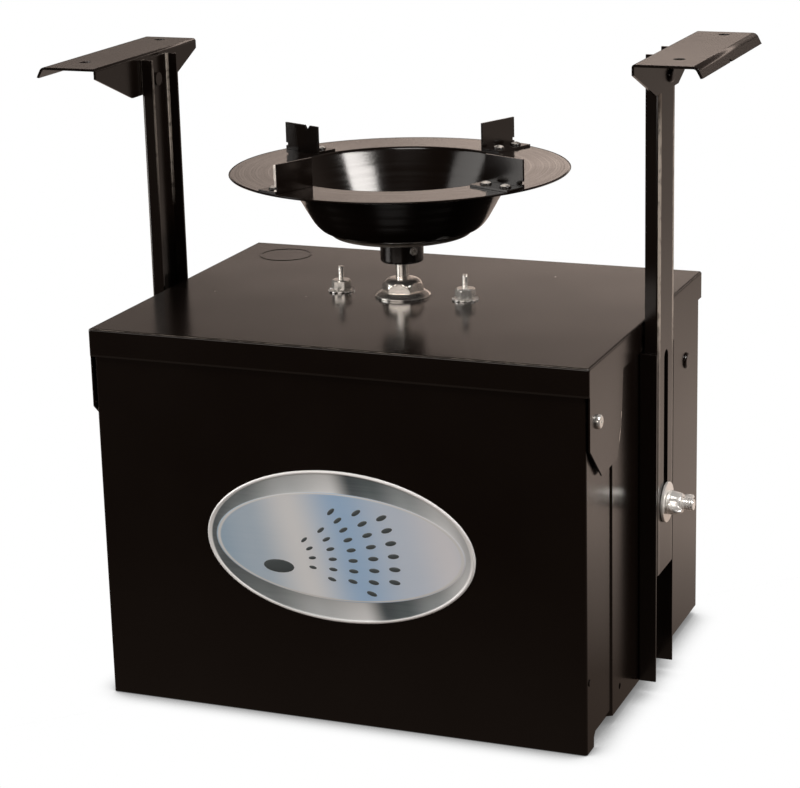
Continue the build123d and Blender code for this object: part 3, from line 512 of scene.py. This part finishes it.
# rivet coat: painted highlights on the crowns of the heads
rivet_coat_highlit = powder_coat("rivet_powder_coat_highlit", wave=0.05, dust_above=0.9, wear_and_sheen=rivet_crown_highlight_mask, patchiness_cut=0.5,
                          under=(0.80, 0.75, 0.70))
# bowl coat: spun rings and a painted reflection along the foot ring
spun_coat_with_reflection = powder_coat("bowl_spun_coat_reflection", wave=0.05, rings_about=tuple(spin), dust_above=0.9,
                         wear_and_sheen=bowl_ring_reflection_mask)
zinc = metal("zinc_plate", (0.80, 0.79, 0.76), (0.95, 0.94, 0.91), (0.16, 0.30), relief=0.004, metallic=0.74)
bright_zinc = metal("zinc_bright", (0.88, 0.87, 0.85), (0.97, 0.96, 0.94), (0.14, 0.26), relief=0.004,
                    metallic=0.62)
chrome = metal("chrome_plate", (0.86, 0.84, 0.80), (0.96, 0.94, 0.90), (0.16, 0.26), relief=0.002,
               metallic=0.92)
shaft_steel = metal("motor_steel", (0.48, 0.46, 0.43), (0.62, 0.60, 0.57), (0.12, 0.26),
                    grain=(20.0, 20.0, 900.0))
black_plastic = plastic("black_plastic", (0.012, 0.012, 0.013), (0.022, 0.022, 0.023), (0.35, 0.5))
brass = metal("brass_tab", (0.62, 0.44, 0.16), (0.76, 0.58, 0.26), (0.2, 0.36))
post_steel = metal("post_steel", (0.50, 0.48, 0.45), (0.66, 0.65, 0.62), (0.18, 0.34))
battery_case = plastic("battery_case", (0.020, 0.022, 0.026), (0.034, 0.036, 0.042), (0.32, 0.46),
                       grain=420.0)
timer_plastic = plastic("timer_plastic", (0.30, 0.31, 0.30), (0.36, 0.37, 0.36), (0.42, 0.56), relief=0.05)
board_green = plastic("board_green", (0.010, 0.085, 0.030), (0.016, 0.120, 0.045), (0.25, 0.4),
                      cloud_scale=240.0)
rubber = plastic("button_rubber", (0.020, 0.020, 0.021), (0.032, 0.032, 0.033), (0.55, 0.7))
red_rubber = plastic("button_red", (0.30, 0.012, 0.010), (0.42, 0.020, 0.014), (0.5, 0.65))
red_sleeve = plastic("lead_red", (0.33, 0.010, 0.008), (0.45, 0.016, 0.012), (0.26, 0.36), relief=0.01)
black_sleeve = plastic("lead_black", (0.012, 0.012, 0.013), (0.020, 0.020, 0.022), (0.26, 0.36), relief=0.01)
display_glass = plastic("display_glass", (0.20, 0.23, 0.19), (0.24, 0.27, 0.23), (0.08, 0.14), relief=0.002)

by_slot = {
    "powder_coat": paint, "zinc_plate": zinc, "chrome_plate": chrome, "motor_steel": shaft_steel,
    "black_plastic": black_plastic, "brass_tab": brass, "battery_case": battery_case,
    "post_steel": post_steel, "timer_plastic": timer_plastic, "board_green": board_green,
    "display_glass": display_glass, "button_rubber": rubber, "button_red": red_rubber,
    "lead_red": red_sleeve, "lead_black": black_sleeve, "badge_foil": paint,
}
coats = {"lid": lid_coat_dusty_highlit, "housing_body": lid_coat_dusty_highlit, "left_leg": leg_coat_worn_and_highlit, "right_leg": leg_coat_worn_and_highlit,
         "left_washer": bright_zinc, "right_washer": bright_zinc}
coats.update({name: stiff_paint for name in ("left_foot", "right_foot", "left_foot_rivet", "right_foot_rivet",
                                             "left_rail", "right_rail", "spinner_hub")})
coats.update({name: vane_coat_highlit for name in ("vane_1", "vane_2", "vane_3", "vane_4")})
for part in frame["record"]["subparts"]:
    name = part["node"]
    piece = nodes[name]
    piece.data.materials.clear()
    piece.data.materials.append(coats.get(name, by_slot[part["material_slot"]]))

soften(["left_leg", "right_leg", "left_foot", "right_foot", "left_rail", "right_rail"], 0.28 * mm)
soften(["vane_1", "vane_2", "vane_3", "vane_4"], 0.25 * mm)


# ---------------------------------------------------------------- spinner

def rounded_path(points, reach):
    """Polyline with its corners rounded by short curves that start and end reach away from the corner."""
    path = [Vector(points[0])]
    for before, corner, after in zip(points, points[1:], points[2:]):
        before, corner, after = Vector(before), Vector(corner), Vector(after)
        cut = min(reach, (corner - before).length * 0.45, (after - corner).length * 0.45)
        start = corner + (before - corner).normalized() * cut
        end = corner + (after - corner).normalized() * cut
        for k in range(7):
            t = k / 6
            path.append(start * (1 - t) ** 2 + corner * 2 * t * (1 - t) + end * t ** 2)
    path.append(Vector(points[-1]))
    return path


def even_path(path, step):
    """The same path with points about one step apart."""
    dense = []
    for a, b in zip(path, path[1:]):
        count = max(1, round((b - a).length / step))
        dense += [a.lerp(b, k / count) for k in range(count)]
    return dense + [path[-1]]


def spun_bowl():
    """Casting bowl: flat rim, cone with the slight waves that spinning leaves, and a stepped bottom."""
    rim_z, bottom_z = bowl_high.z, bowl_low.z
    rim = (bowl_high.x - bowl_low.x) / 2
    sheet = 0.8 * mm
    middle = rim_z - sheet / 2
    wall = [(54.3, 0.4), (49.8, 8.2), (45.9, 15.2), (43.2, 20.0), (41.3, 23.2), (39.6, 25.4), (37.6, 27.3),
            (35.0, 28.5), (33.8, 28.7), (33.7, 29.2), (33.3, 29.9), (32.5, 30.5), (31.2, 30.9), (6.4, 30.9)]
    outline = [(rim - sheet / 2, middle)]
    outline += [(r * mm, max(rim_z - drop * mm, bottom_z + sheet / 2)) for r, drop in wall]
    path = even_path(rounded_path(outline, 0.9 * mm), 0.9 * mm)
    inner, outer = [], []
    for k, point in enumerate(path):
        way = (path[min(k + 1, len(path) - 1)] - path[max(k - 1, 0)]).normalized()
        across = Vector((way.y, -way.x))
        depth = rim_z - point.y
        on_cone = min(depth - 1.5 * mm, 22 * mm - depth) / (3 * mm) if point.x < 54.5 * mm else 0.0
        wave = 0.032 * mm * min(1.0, max(0.0, on_cone)) * sin(2 * pi * depth / (4.6 * mm))
        inner.append(point - across * (sheet / 2 - wave))
        outer.append(point + across * sheet / 2)
    lip = [Vector((rim, middle))]
    profile = [tuple(p) for p in inner[::-1] + lip + outer]
    profile = [(r, min(max(h, bottom_z), rim_z)) for r, h in profile]
    shape = placed([skin_over(turned(profile, 192), wrap=True)], [Matrix.Translation(spin)])
    finish(mesh_object("casting_bowl", shape, 50), spun_coat_with_reflection, "powder_coat", "spinner_bowl")


def rivet_heads():
    """Domed rivet heads with a small set mark, over the plain rivets' shanks and tails."""
    low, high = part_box("vane_rivets")
    point = 0.0004 * mm  # radius that stands for 0
    head, rise, shank = 2.7 * mm, 1.5 * mm, 1.5 * mm
    top, foot = high.z, high.z - rise
    dome = [(point, foot), (head, foot)]
    for k in range(7):
        turn = radians(10 + 68 * k / 6)
        dome.append((head * cos(turn) * 1.01, foot + rise * sin(turn) / sin(radians(78))))
    dome += [(head * 0.16, top - 0.10 * mm), (point, top - 0.22 * mm)]
    tail = [(point, low.z), (2.0 * mm, low.z), (2.4 * mm, low.z + 0.4 * mm), (2.4 * mm, low.z + 0.9 * mm),
            (shank, low.z + 0.9 * mm), (shank, foot), (point, foot)]
    spots = []
    for k in range(4):
        angle = radians(vane_angle + 90 * k)
        out, aside = polar(1.0, angle), Vector((sin(angle), -cos(angle), 0))
        for r in (61.5 * mm, 73.5 * mm):
            spots.append(Matrix.Translation(spin + out * r + aside * 6.67 * mm))
    shape = placed([skin_over(turned(dome, 32)), skin_over(turned(tail, 24))], spots)
    finish(mesh_object("rivet_heads", shape, 50), rivet_coat_highlit, "powder_coat", "vane_rivets")


# ---------------------------------------------------------------- fasteners

def drive_bushing():
    """Chromed hexagon dome with a broad flange, threaded down through the lid round the shaft."""
    low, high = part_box("shaft_bushing")
    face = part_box("stud_washers")[0].z
    bore = 3.225 * mm
    across = 17.6 * mm
    flange = [(7.8, 0.0), (13.2, 0.0), (13.4, 0.2), (13.4, 0.75), (13.1, 1.15), (12.0, 1.8), (11.0, 2.3),
              (10.4, 2.6), (10.39, 2.61)]
    profile = [(bore, low.z), (7.5 * mm, low.z), (7.8 * mm, low.z + 0.3 * mm)]
    profile += [(r * mm, face + h * mm) for r, h in flange]
    for k in range(9):
        turn = radians(10 * k)
        profile.append((10.35 * mm - 4.4 * mm * (1 - cos(turn)), face + 3.0 * mm + 5.6 * mm * sin(turn)))
    profile += [(5.6 * mm, high.z), (bore + 0.5 * mm, high.z), (bore, high.z - 0.4 * mm)]
    rings = six_sided(profile, across, 144, start=face + 2.605 * mm, rotation=radians(10))
    shape = placed([skin_over(rings, wrap=True)], [Matrix.Translation(spin)])
    finish(mesh_object("drive_bushing", shape, 30), chrome, "chrome_plate", "shaft_bushing")


def studs_and_nuts():
    """Two threaded studs with hexagon heads, each with a toothed lock washer and a nut above the lid."""
    spacing = 63.5 * mm
    spots = [Matrix.Translation(spin + Vector((way * spacing / 2, 0, 0))) for way in (-1, 1)]
    turned_spots = [spot @ Matrix.Rotation(radians(turn), 4, "Z") for spot, turn in zip(spots, (8, 27))]
    low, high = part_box("mount_studs")
    head = lifted(hexagon_nut(5.8 * mm, 2.4 * mm, 0.9 * mm), low.z)
    rod = threaded(1.5 * mm, low.z + 0.2 * mm, high.z, 0.7 * mm, 0.14 * mm)
    shape = placed([skin_over(head, wrap=True), skin_over(rod)], turned_spots)
    finish(mesh_object("lid_studs", shape, 30), zinc, "zinc_plate", "mount_studs")

    low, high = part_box("stud_nuts")
    nut = lifted(hexagon_nut(8.6 * mm, high.z - low.z, 1.53 * mm), low.z)
    shape = placed([skin_over(nut, wrap=True)], turned_spots)
    finish(mesh_object("lid_nuts", shape, 25), zinc, "zinc_plate", "stud_nuts")

    low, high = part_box("stud_washers")
    teeth, segments = 12, 144
    bore, body, half = 1.7 * mm, 4.6 * mm, 0.26 * mm
    middle = (low.z + high.z) / 2
    rings = [[], [], [], [], [], []]
    for i, turn in enumerate(full_turn(segments)):
        phase = (i * teeth / segments) % 1.0
        tooth = phase < 0.62
        outer = (6.4 if tooth else 5.1) * mm
        tilt = (phase / 0.62 - 0.5) * 0.36 * mm if tooth else 0.0
        for ring, r, h in zip(rings, (bore, body, outer, outer, body, bore),
                              (half, half, 0.24 * mm + tilt, -0.24 * mm + tilt, -half, -half)):
            ring.append(polar(r, turn, middle + h))
    shape = placed([skin_over(rings, wrap=True)], turned_spots)
    finish(mesh_object("lid_lock_washers", shape, 30), bright_zinc, "zinc_plate", "stud_washers")


def wing_nut_shapes():
    """Shapes of a cast wing nut about +Z from its foot: the hub, and its two wings along X."""
    hub = [(3.05, 0.0), (5.3, 0.0), (5.75, 0.35), (5.6, 2.4), (5.1, 4.8), (4.7, 6.3), (4.3, 6.85), (3.8, 7.0),
           (3.4, 7.0), (3.05, 6.7)]
    wings = []
    spine = [(2.8, 2.4, 2.3, 1.7), (5.0, 3.1, 2.4, 1.35), (7.2, 4.5, 2.4, 1.15), (9.2, 6.1, 2.45, 1.05),
             (10.8, 7.3, 2.3, 1.0), (11.9, 8.1, 1.7, 0.8), (12.45, 8.45, 0.7, 0.4)]
    for way in (-1, 1):
        rings = []
        for k, (x, h, wide, thick) in enumerate(spine):
            a, b = spine[max(k - 1, 0)], spine[min(k + 1, len(spine) - 1)]
            along = Vector((b[0] - a[0], b[1] - a[1])).normalized()
            ring = []
            for turn in full_turn(24):
                c, s = cos(turn), sin(turn)
                side = wide * abs(c) ** 0.7 * (1 if c > 0 else -1)
                up = thick * abs(s) ** 0.7 * (1 if s > 0 else -1)
                ring.append(Vector((way * (x - along.y * side), up, h + along.x * side)) * mm)
            rings.append(ring)
        wings.append(skin_over(rings))
    body = turned([(r * mm, h * mm) for r, h in hub], 56)
    return [skin_over(body, wrap=True)] + wings


def clamp(side):
    """Threaded bolt with a hexagon head inside, and the wing nut on it."""
    hand = "right" if side > 0 else "left"
    low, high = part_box(f"{hand}_clamp_bolt")
    middle_y, middle_z = (low.y + high.y) / 2, (low.z + high.z) / 2
    radius, pitch, head, across = 3.0 * mm, 1.27 * mm, 3.6 * mm, 10.0 * mm
    start = Vector((low.x if side > 0 else high.x, middle_y, middle_z))
    rod = threaded(radius, head - 0.2 * mm, high.x - low.x, pitch, 0.3 * mm, segments=40)
    parts = [skin_over(hexagon_nut(across, head, 1.0 * mm), wrap=True), skin_over(rod)]
    shape = placed(parts, [frame_at(start, (side, 0, 0))])
    finish(mesh_object(f"{hand}_bolt", shape, 35), bright_zinc, "zinc_plate", f"{hand}_clamp_bolt")

    low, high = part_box(f"{hand}_wing_nut")
    foot = Vector((low.x if side > 0 else high.x, middle_y, middle_z))
    shape = placed(wing_nut_shapes(), [frame_at(foot, (side, 0, 0))])
    finish(mesh_object(f"{hand}_wings", shape, 60), bright_zinc, "zinc_plate", f"{hand}_wing_nut")


# ---------------------------------------------------------------- badge

def oval_rings(middle, half_x, half_z, levels):
    """Rings of an oval plate facing -Y. A level is (inset along X, inset along Z, height off the back)."""
    rings = []
    for inset_x, inset_z, rise in levels:
        rings.append([Vector((middle.x + (half_x - inset_x) * cos(turn), middle.y - rise,
                              middle.z + (half_z - inset_z) * sin(turn))) for turn in full_turn(144)])
    return rings


def badge_plate():
    """Oval foil-faced plate with a beaded border, a broad ring and a raised field, and a fan of grains."""
    low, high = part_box("badge")
    middle = Vector(((low.x + high.x) / 2, high.y, (low.z + high.z) / 2))
    half_x, half_z = (high.x - low.x) / 2, (high.z - low.z) / 2
    border = [(0.0, 0.0), (0.0, 0.35), (0.25, 0.62), (0.6, 0.78), (0.9, 0.8), (1.3, 0.7), (1.6, 0.52),
              (2.0, 0.46)]
    levels = [(inset, inset, rise) for inset, rise in border]
    levels += [(3.4, 6.0, 0.42), (4.3, 9.8, 0.44), (4.7, 10.3, 0.55), (5.2, 10.9, 0.64), (5.8, 11.6, 0.62),
               (20.0, 18.0, 0.62), (40.0, 27.0, 0.62)]
    rings = oval_rings(middle, half_x, half_z, [(a * mm, b * mm, c * mm) for a, b, c in levels])
    foil = badge_foil(tuple(middle), half_x, half_z)
    finish(mesh_object("badge_plate", skin_over(rings), 40), foil, "badge_foil", "badge")

    grain = [(0.0, 1.0), (0.35, 0.94), (0.7, 0.72), (0.92, 0.38), (1.0, 0.0)]
    spots = []
    source = Vector((-30.0, -9.0)) * mm
    farthest = 57
    for reach, count in ((17, 4), (27, 6), (37, 8), (47, 9), (farthest, 10)):
        for k in range(count):
            turn = radians(-14 + 62 * (k + 0.5 * (reach % 4 == 1)) / count)
            spot = source + Vector((cos(turn), sin(turn))) * reach * mm
            if (spot.x / (half_x - 10 * mm)) ** 2 + (spot.y / (half_z - 14 * mm)) ** 2 < 1:
                size = 1.0 + 0.9 * reach / farthest
                spots.append((spot, turn, size * mm))
    dish = [(Vector((source.x, source.y - 3 * mm)), 0.0, 5.2 * mm)]
    face, dome = middle.y - 0.60 * mm, 0.18 * mm
    parts = []
    for spot, turn, size in spots + dish:
        rings = []
        for r, h in grain[::-1]:
            ring = []
            grown = size * max(r, 0.02)
            for angle in full_turn(20):
                local = Vector((grown * 1.5 * cos(angle), grown * 0.62 * sin(angle)))
                local.rotate(Matrix.Rotation(turn, 2))
                ring.append(Vector((middle.x + spot.x + local.x, face - h * dome,
                                    middle.z + spot.y + local.y)))
            rings.append(ring)
        parts.append(skin_over(rings))
    shape = placed(parts, [Matrix.Identity(4)])
    ink = plastic("badge_ink", (0.050, 0.062, 0.066), (0.075, 0.090, 0.095), (0.3, 0.45))
    finish(mesh_object("badge_grains", shape, 60), ink, "badge_foil", body="door")


# ---------------------------------------------------------------- inside the housing

def rounded_rectangle(half_x, half_y, corner, steps):
    """(x, y) points of a rectangle with round corners, centred half_x and half_y away from the middle."""
    points = []
    for k, (way_x, way_y) in enumerate(((1, 1), (-1, 1), (-1, -1), (1, -1))):
        for i in range(steps + 1):
            turn = radians(90 * k + 90 * i / steps)
            points.append((way_x * half_x + corner * cos(turn), way_y * half_y + corner * sin(turn)))
    return points


def lantern_battery():
    """Square battery: a sleeve between a crimped foot and lid, with two conical contact springs."""
    low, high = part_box("battery")
    middle, half = (low + high) / 2, (high.x - low.x) / 2
    corner = 6 * mm
    foot = [(1.6, 0.0), (0.5, 0.6), (0.0, 1.6), (0.0, 3.4), (0.7, 4.0)]
    lid = [(0.7, -9.0), (0.1, -8.2), (0.0, -7.6), (0.0, -1.6), (0.5, -0.5), (1.6, 0.0), (3.0, 0.0),
           (3.6, -0.8), (12.0, -0.8), (25.0, -0.8)]
    levels = [(inset * mm, low.z + rise * mm) for inset, rise in foot]
    levels += [(inset * mm, high.z + rise * mm) for inset, rise in lid]
    rings = []
    for inset, height in levels:
        round_off = max(corner - inset, 0.2 * mm)
        flat = half - inset - round_off
        rings.append([Vector((middle.x + x, middle.y + y, height))
                      for x, y in rounded_rectangle(flat, flat, round_off, 12)])
    finish(mesh_object("battery_case", skin_over(rings), 30), battery_case, "battery_case", "battery")

    low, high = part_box("battery_posts")
    reach, wire, sunk = 5.4 * mm, 0.5 * mm, 0.5 * mm
    spots = [Matrix.Translation((low.x + reach, high.y - reach, 0)),
             Matrix.Translation((high.x - reach, low.y + reach, 0))]
    turns, per_turn = 4.6, 26
    count = round(turns * per_turn)
    rings = []
    for k in range(count + 1):
        t = k / count
        turn = 2 * pi * turns * t
        height = low.z - sunk + wire + (high.z - low.z + sunk - 2 * wire) * t
        centre, out = polar((4.8 - 2.6 * t) * mm, turn, height), polar(1.0, turn)
        rings.append([centre + wire * (out * cos(a) + Vector((0, 0, 1)) * sin(a)) for a in full_turn(10)])
    shape = placed([skin_over(rings)], spots)
    finish(mesh_object("contact_springs", shape, 60), post_steel, "post_steel", "battery_posts")


def oval_tube(sections):
    """Skin along +X over (x, half width, half height) sections."""
    return skin_over([[Vector((x, wide * cos(turn), tall * sin(turn))) for turn in full_turn(28)]
                      for x, wide, tall in sections])


def spring_clips():
    """Crocodile clips on the springs: two sprung jaws and a ribbed sleeve towards the lead."""
    low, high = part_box("lead_clips")
    top = (low.z + high.z) / 2
    near_y, far_y = low.y + 3.5 * mm, high.y - 3.5 * mm
    length = 18 * mm
    spots = [Matrix.Translation((low.x, far_y, top)), Matrix.Translation((high.x - length, near_y, top))]
    jaws = []
    for way in (-1, 1):
        rings = []
        for k in range(13):
            x = 9.0 * mm * k / 12
            wide = (1.5 + 1.5 * min(1, k / 6)) * mm
            bow = way * (0.45 + 1.5 * sin(min(1, k / 9) * pi / 2)) * mm
            nip = 0.25 * mm * (k % 2 if k < 8 else 0)
            teeth, outer, inner = -way * nip, way * 0.35 * mm, -way * 0.1 * mm
            section = [(wide, teeth), (wide * 0.6, outer), (-wide * 0.6, outer), (-wide, teeth),
                       (-wide * 0.6, inner), (wide * 0.6, inner)]
            rings.append([Vector((x, y, bow + rise)) for y, rise in section])
        jaws.append(skin_over(rings))
    shape = placed(jaws, spots)
    finish(mesh_object("clip_jaws", shape, 40), brass, "brass_tab", "lead_clips")
    sections = []
    for k in range(25):
        t = k / 24
        rib = 0.12 * mm * sin(t * 2 * pi * 6)
        sections.append(((6.5 + 11.5 * t) * mm, (3.3 - 1.7 * t) * mm + rib, (2.45 - 0.9 * t) * mm + rib))
    for name, spot, sleeve, slot in zip(("clip_sleeve_red", "clip_sleeve_black"), spots,
                                        (red_sleeve, black_sleeve), ("lead_red", "lead_black")):
        shape = placed([oval_tube(sections)], [spot])
        finish(mesh_object(name, shape, 50), sleeve, slot, body="housing")


def timer_front():
    """Raised bezel round the display, and the clock digits that show in it."""
    low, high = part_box("timer_display")
    middle = Vector(((low.x + high.x) / 2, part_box("timer_case")[0].y, (low.z + high.z) / 2))
    half_x, half_z, corner = 20.0 * mm, 9.0 * mm, 1.0 * mm
    rings = []
    for grow, rise in ((0.1, -0.1), (0.1, 0.5), (0.4, 0.8), (1.6, 0.8), (2.1, 0.4), (2.2, -0.1)):
        points = rounded_rectangle(half_x - corner, half_z - corner, corner + grow * mm, 8)
        rings.append([Vector((middle.x + x, middle.y - rise * mm, middle.z + z)) for x, z in points])
    shape = skin_over(rings, wrap=True)
    finish(mesh_object("display_bezel", shape, 40), black_plastic, "black_plastic", body="housing")

    face_y = low.y
    tall, wide, thick = 5.2 * mm, 4.6 * mm, 0.95 * mm
    strokes = {"a": (0, 1, 0), "g": (0, 0, 0), "d": (0, -1, 0), "f": (-1, 0.5, 1), "b": (1, 0.5, 1),
               "e": (-1, -0.5, 1), "c": (1, -0.5, 1)}
    digits = {"1": "bc", "2": "abged", "0": "abcdef"}

    def bar(x, z, long, upright):
        shape = [(-long, 0), (-long + thick / 2, thick / 2), (long - thick / 2, thick / 2), (long, 0),
                 (long - thick / 2, -thick / 2), (-long + thick / 2, -thick / 2)]
        if upright:
            shape = [(b, a) for a, b in shape]
        rings = [[Vector((x + a, face_y + dy, z + b)) for a, b in shape] for dy in (0.05 * mm, -0.06 * mm)]
        return skin_over(rings)

    parts = []
    for character, x in zip("1200", (-12.5, -5.2, 4.2, 11.5)):
        for stroke in digits[character]:
            sx, sz, upright = strokes[stroke]
            parts.append(bar(middle.x + x * mm + sx * wide / 2, middle.z + sz * tall,
                             (tall if upright else wide) / 2 - 0.15 * mm, upright))
    for z in (-1.8, 1.8):
        parts.append(bar(middle.x - 0.5 * mm, middle.z + z * mm, 0.6 * mm, False))
    shape = placed(parts, [Matrix.Identity(4)])
    ink = plastic("display_ink", (0.010, 0.012, 0.011), (0.018, 0.020, 0.018), (0.3, 0.4))
    finish(mesh_object("display_digits", shape), ink, "display_glass", body="housing")


spun_bowl()
rivet_heads()
drive_bushing()
studs_and_nuts()
clamp(-1)
clamp(1)
badge_plate()
lantern_battery()
spring_clips()
timer_front()


# ---------------------------------------------------------------- camera, floor and light

def photo_camera():
    """Camera at the photograph's place. Its lens and sensor are in millimetres."""
    yaw, pitch, roll = radians(21.262), radians(15.928), radians(-1.27)
    ahead = Vector((-sin(yaw) * cos(pitch), cos(yaw) * cos(pitch), -sin(pitch)))
    right = ahead.cross(Vector((0, 0, 1))).normalized()
    up = right.cross(ahead)
    tilted_right = cos(roll) * right + sin(roll) * up
    tilted_up = -sin(roll) * right + cos(roll) * up
    lens = bpy.data.cameras.new("camera")
    lens.sensor_width = 36.0
    lens.lens = 109.96
    lens.shift_x = -0.0372
    lens.shift_y = -0.0189
    lens.clip_start = 0.01
    camera = bpy.data.objects.new("camera", lens)
    turn = Matrix((tilted_right, tilted_up, -ahead)).transposed().to_4x4()
    turn.translation = Vector((0.41802, -1.04519, 0.46069))
    camera.matrix_world = turn
    bpy.context.scene.collection.objects.link(camera)
    bpy.context.scene.camera = camera


def pale_floor():
    """White floor with a soft contact shadow for the camera. The object sees a tan one, dark in front."""
    size = 30.0
    corners = [(-size, -size, 0), (size, -size, 0), (size, size, 0), (-size, size, 0)]
    floor = mesh_object("floor", (corners, [(0, 1, 2, 3)]))
    made, tree, skin = new_material("floor")
    tree.nodes.remove(skin)
    place = add(tree, "TexCoord").outputs["Object"]
    depth = add(tree, "SeparateXYZ", {0: place}).outputs[1]
    back = slope(tree, depth, -0.30, 1.70)
    tans = [(0.0, (0.040, 0.026, 0.019)), (0.15, (0.15, 0.112, 0.09)), (0.22, (0.44, 0.352, 0.30)),
            (0.26, (0.66, 0.528, 0.449)), (0.36, (0.62, 0.496, 0.422)), (0.50, (0.46, 0.368, 0.313)),
            (0.66, (0.30, 0.24, 0.204)), (1.0, (0.24, 0.192, 0.163))]
    contact = add(tree, "AmbientOcclusion", {"Distance": 0.018}, samples=16).outputs["AO"]
    shadow = ramp(tree, contact, [(0.0, 0.05), (0.50, 0.34), (0.75, 0.85), (0.90, 1.0), (1.0, 1.0)])
    seen = add(tree, "Emission", {0: shadow, 1: 1.0}).outputs[0]
    lit = add(tree, "Emission", {0: ramp(tree, back, tans), 1: 1.0}).outputs[0]
    camera_ray = add(tree, "LightPath").outputs["Is Camera Ray"]
    both = add(tree, "MixShader", {0: camera_ray, 1: lit, 2: seen}).outputs[0]
    tree.links.new(both, tree.nodes["Material Output"].inputs["Surface"])
    floor.data.materials.append(made)


def half_scale(tree, value):
    """Value of -1 to 1 mapped to 0 to 1."""
    return plus(tree, times(tree, value, 0.5), 0.5)


def studio_room():
    """White behind the object for the camera; a tan room, bright low at the back, for its reflections."""
    world = bpy.data.worlds.new("studio")
    bpy.context.scene.world = world
    world.use_nodes = True
    tree = world.node_tree
    tree.nodes.clear()
    way = add(tree, "SeparateXYZ", {0: add(tree, "TexCoord").outputs["Generated"]}).outputs
    back = ramp(tree, half_scale(tree, way[1]), [(0.0, 0.06), (0.40, 0.08), (0.62, 0.34), (0.80, 1.0)])
    height = ramp(tree, way[2], [(0.0, 0.05), (0.145, 0.06), (0.183, 1.0), (0.209, 1.0), (0.234, 0.15),
                                 (0.257, 0.065), (0.40, 0.075), (0.70, 0.060), (1.0, 0.050)])
    side = ramp(tree, half_scale(tree, way[0]), [(0.0, 0.15), (0.27, 0.44), (0.31, 0.64), (0.353, 0.86),
                                                 (0.50, 1.0), (1.0, 1.0)])
    level = times(tree, back, height, side, 2.3)
    room = add(tree, "Background", {0: (1.0, 0.81, 0.70, 1.0), 1: level})
    white = add(tree, "Background", {0: (1.0, 1.0, 1.0, 1.0), 1: 1.0})
    camera_ray = add(tree, "LightPath").outputs["Is Camera Ray"]
    both = add(tree, "MixShader", {0: camera_ray, 1: room.outputs[0], 2: white.outputs[0]})
    output = add(tree, "OutputWorld", {0: both.outputs[0]})
    output.is_active_output = True


def softbox(name, way, distance, size, radiance, colour=(1.0, 0.96, 0.92)):
    """Rectangular area light looking at the object's middle, with a given radiance."""
    light = bpy.data.lights.new(name, "AREA")
    light.shape = "RECTANGLE"
    light.size, light.size_y = size
    light.energy = radiance * pi * size[0] * size[1]
    light.color = colour
    lamp = bpy.data.objects.new(name, light)
    target = Vector((0, 0, 0.18))
    lamp.matrix_world = frame_at(target + Vector(way).normalized() * distance, way)
    bpy.context.scene.collection.objects.link(lamp)


photo_camera()
pale_floor()
studio_room()
softbox("key_softbox", (0.72, -0.18, 0.66), 1.5, (0.75, 0.40), 22.5)
softbox("left_softbox", (-0.81, -0.28, 0.52), 1.6, (0.9, 0.7), 2.3)
softbox("low_fill", (-0.85, -0.50, 0.12), 1.8, (0.8, 0.8), 6.0)
softbox("front_softbox", (-0.12, -0.94, 0.30), 1.9, (1.7, 0.56), 3.2, (1.0, 0.90, 0.82))
softbox("top_softbox", (0.02, -0.36, 0.93), 1.4, (0.5, 0.42), 6.5)
bpy.context.scene.view_settings.view_transform = "Standard"
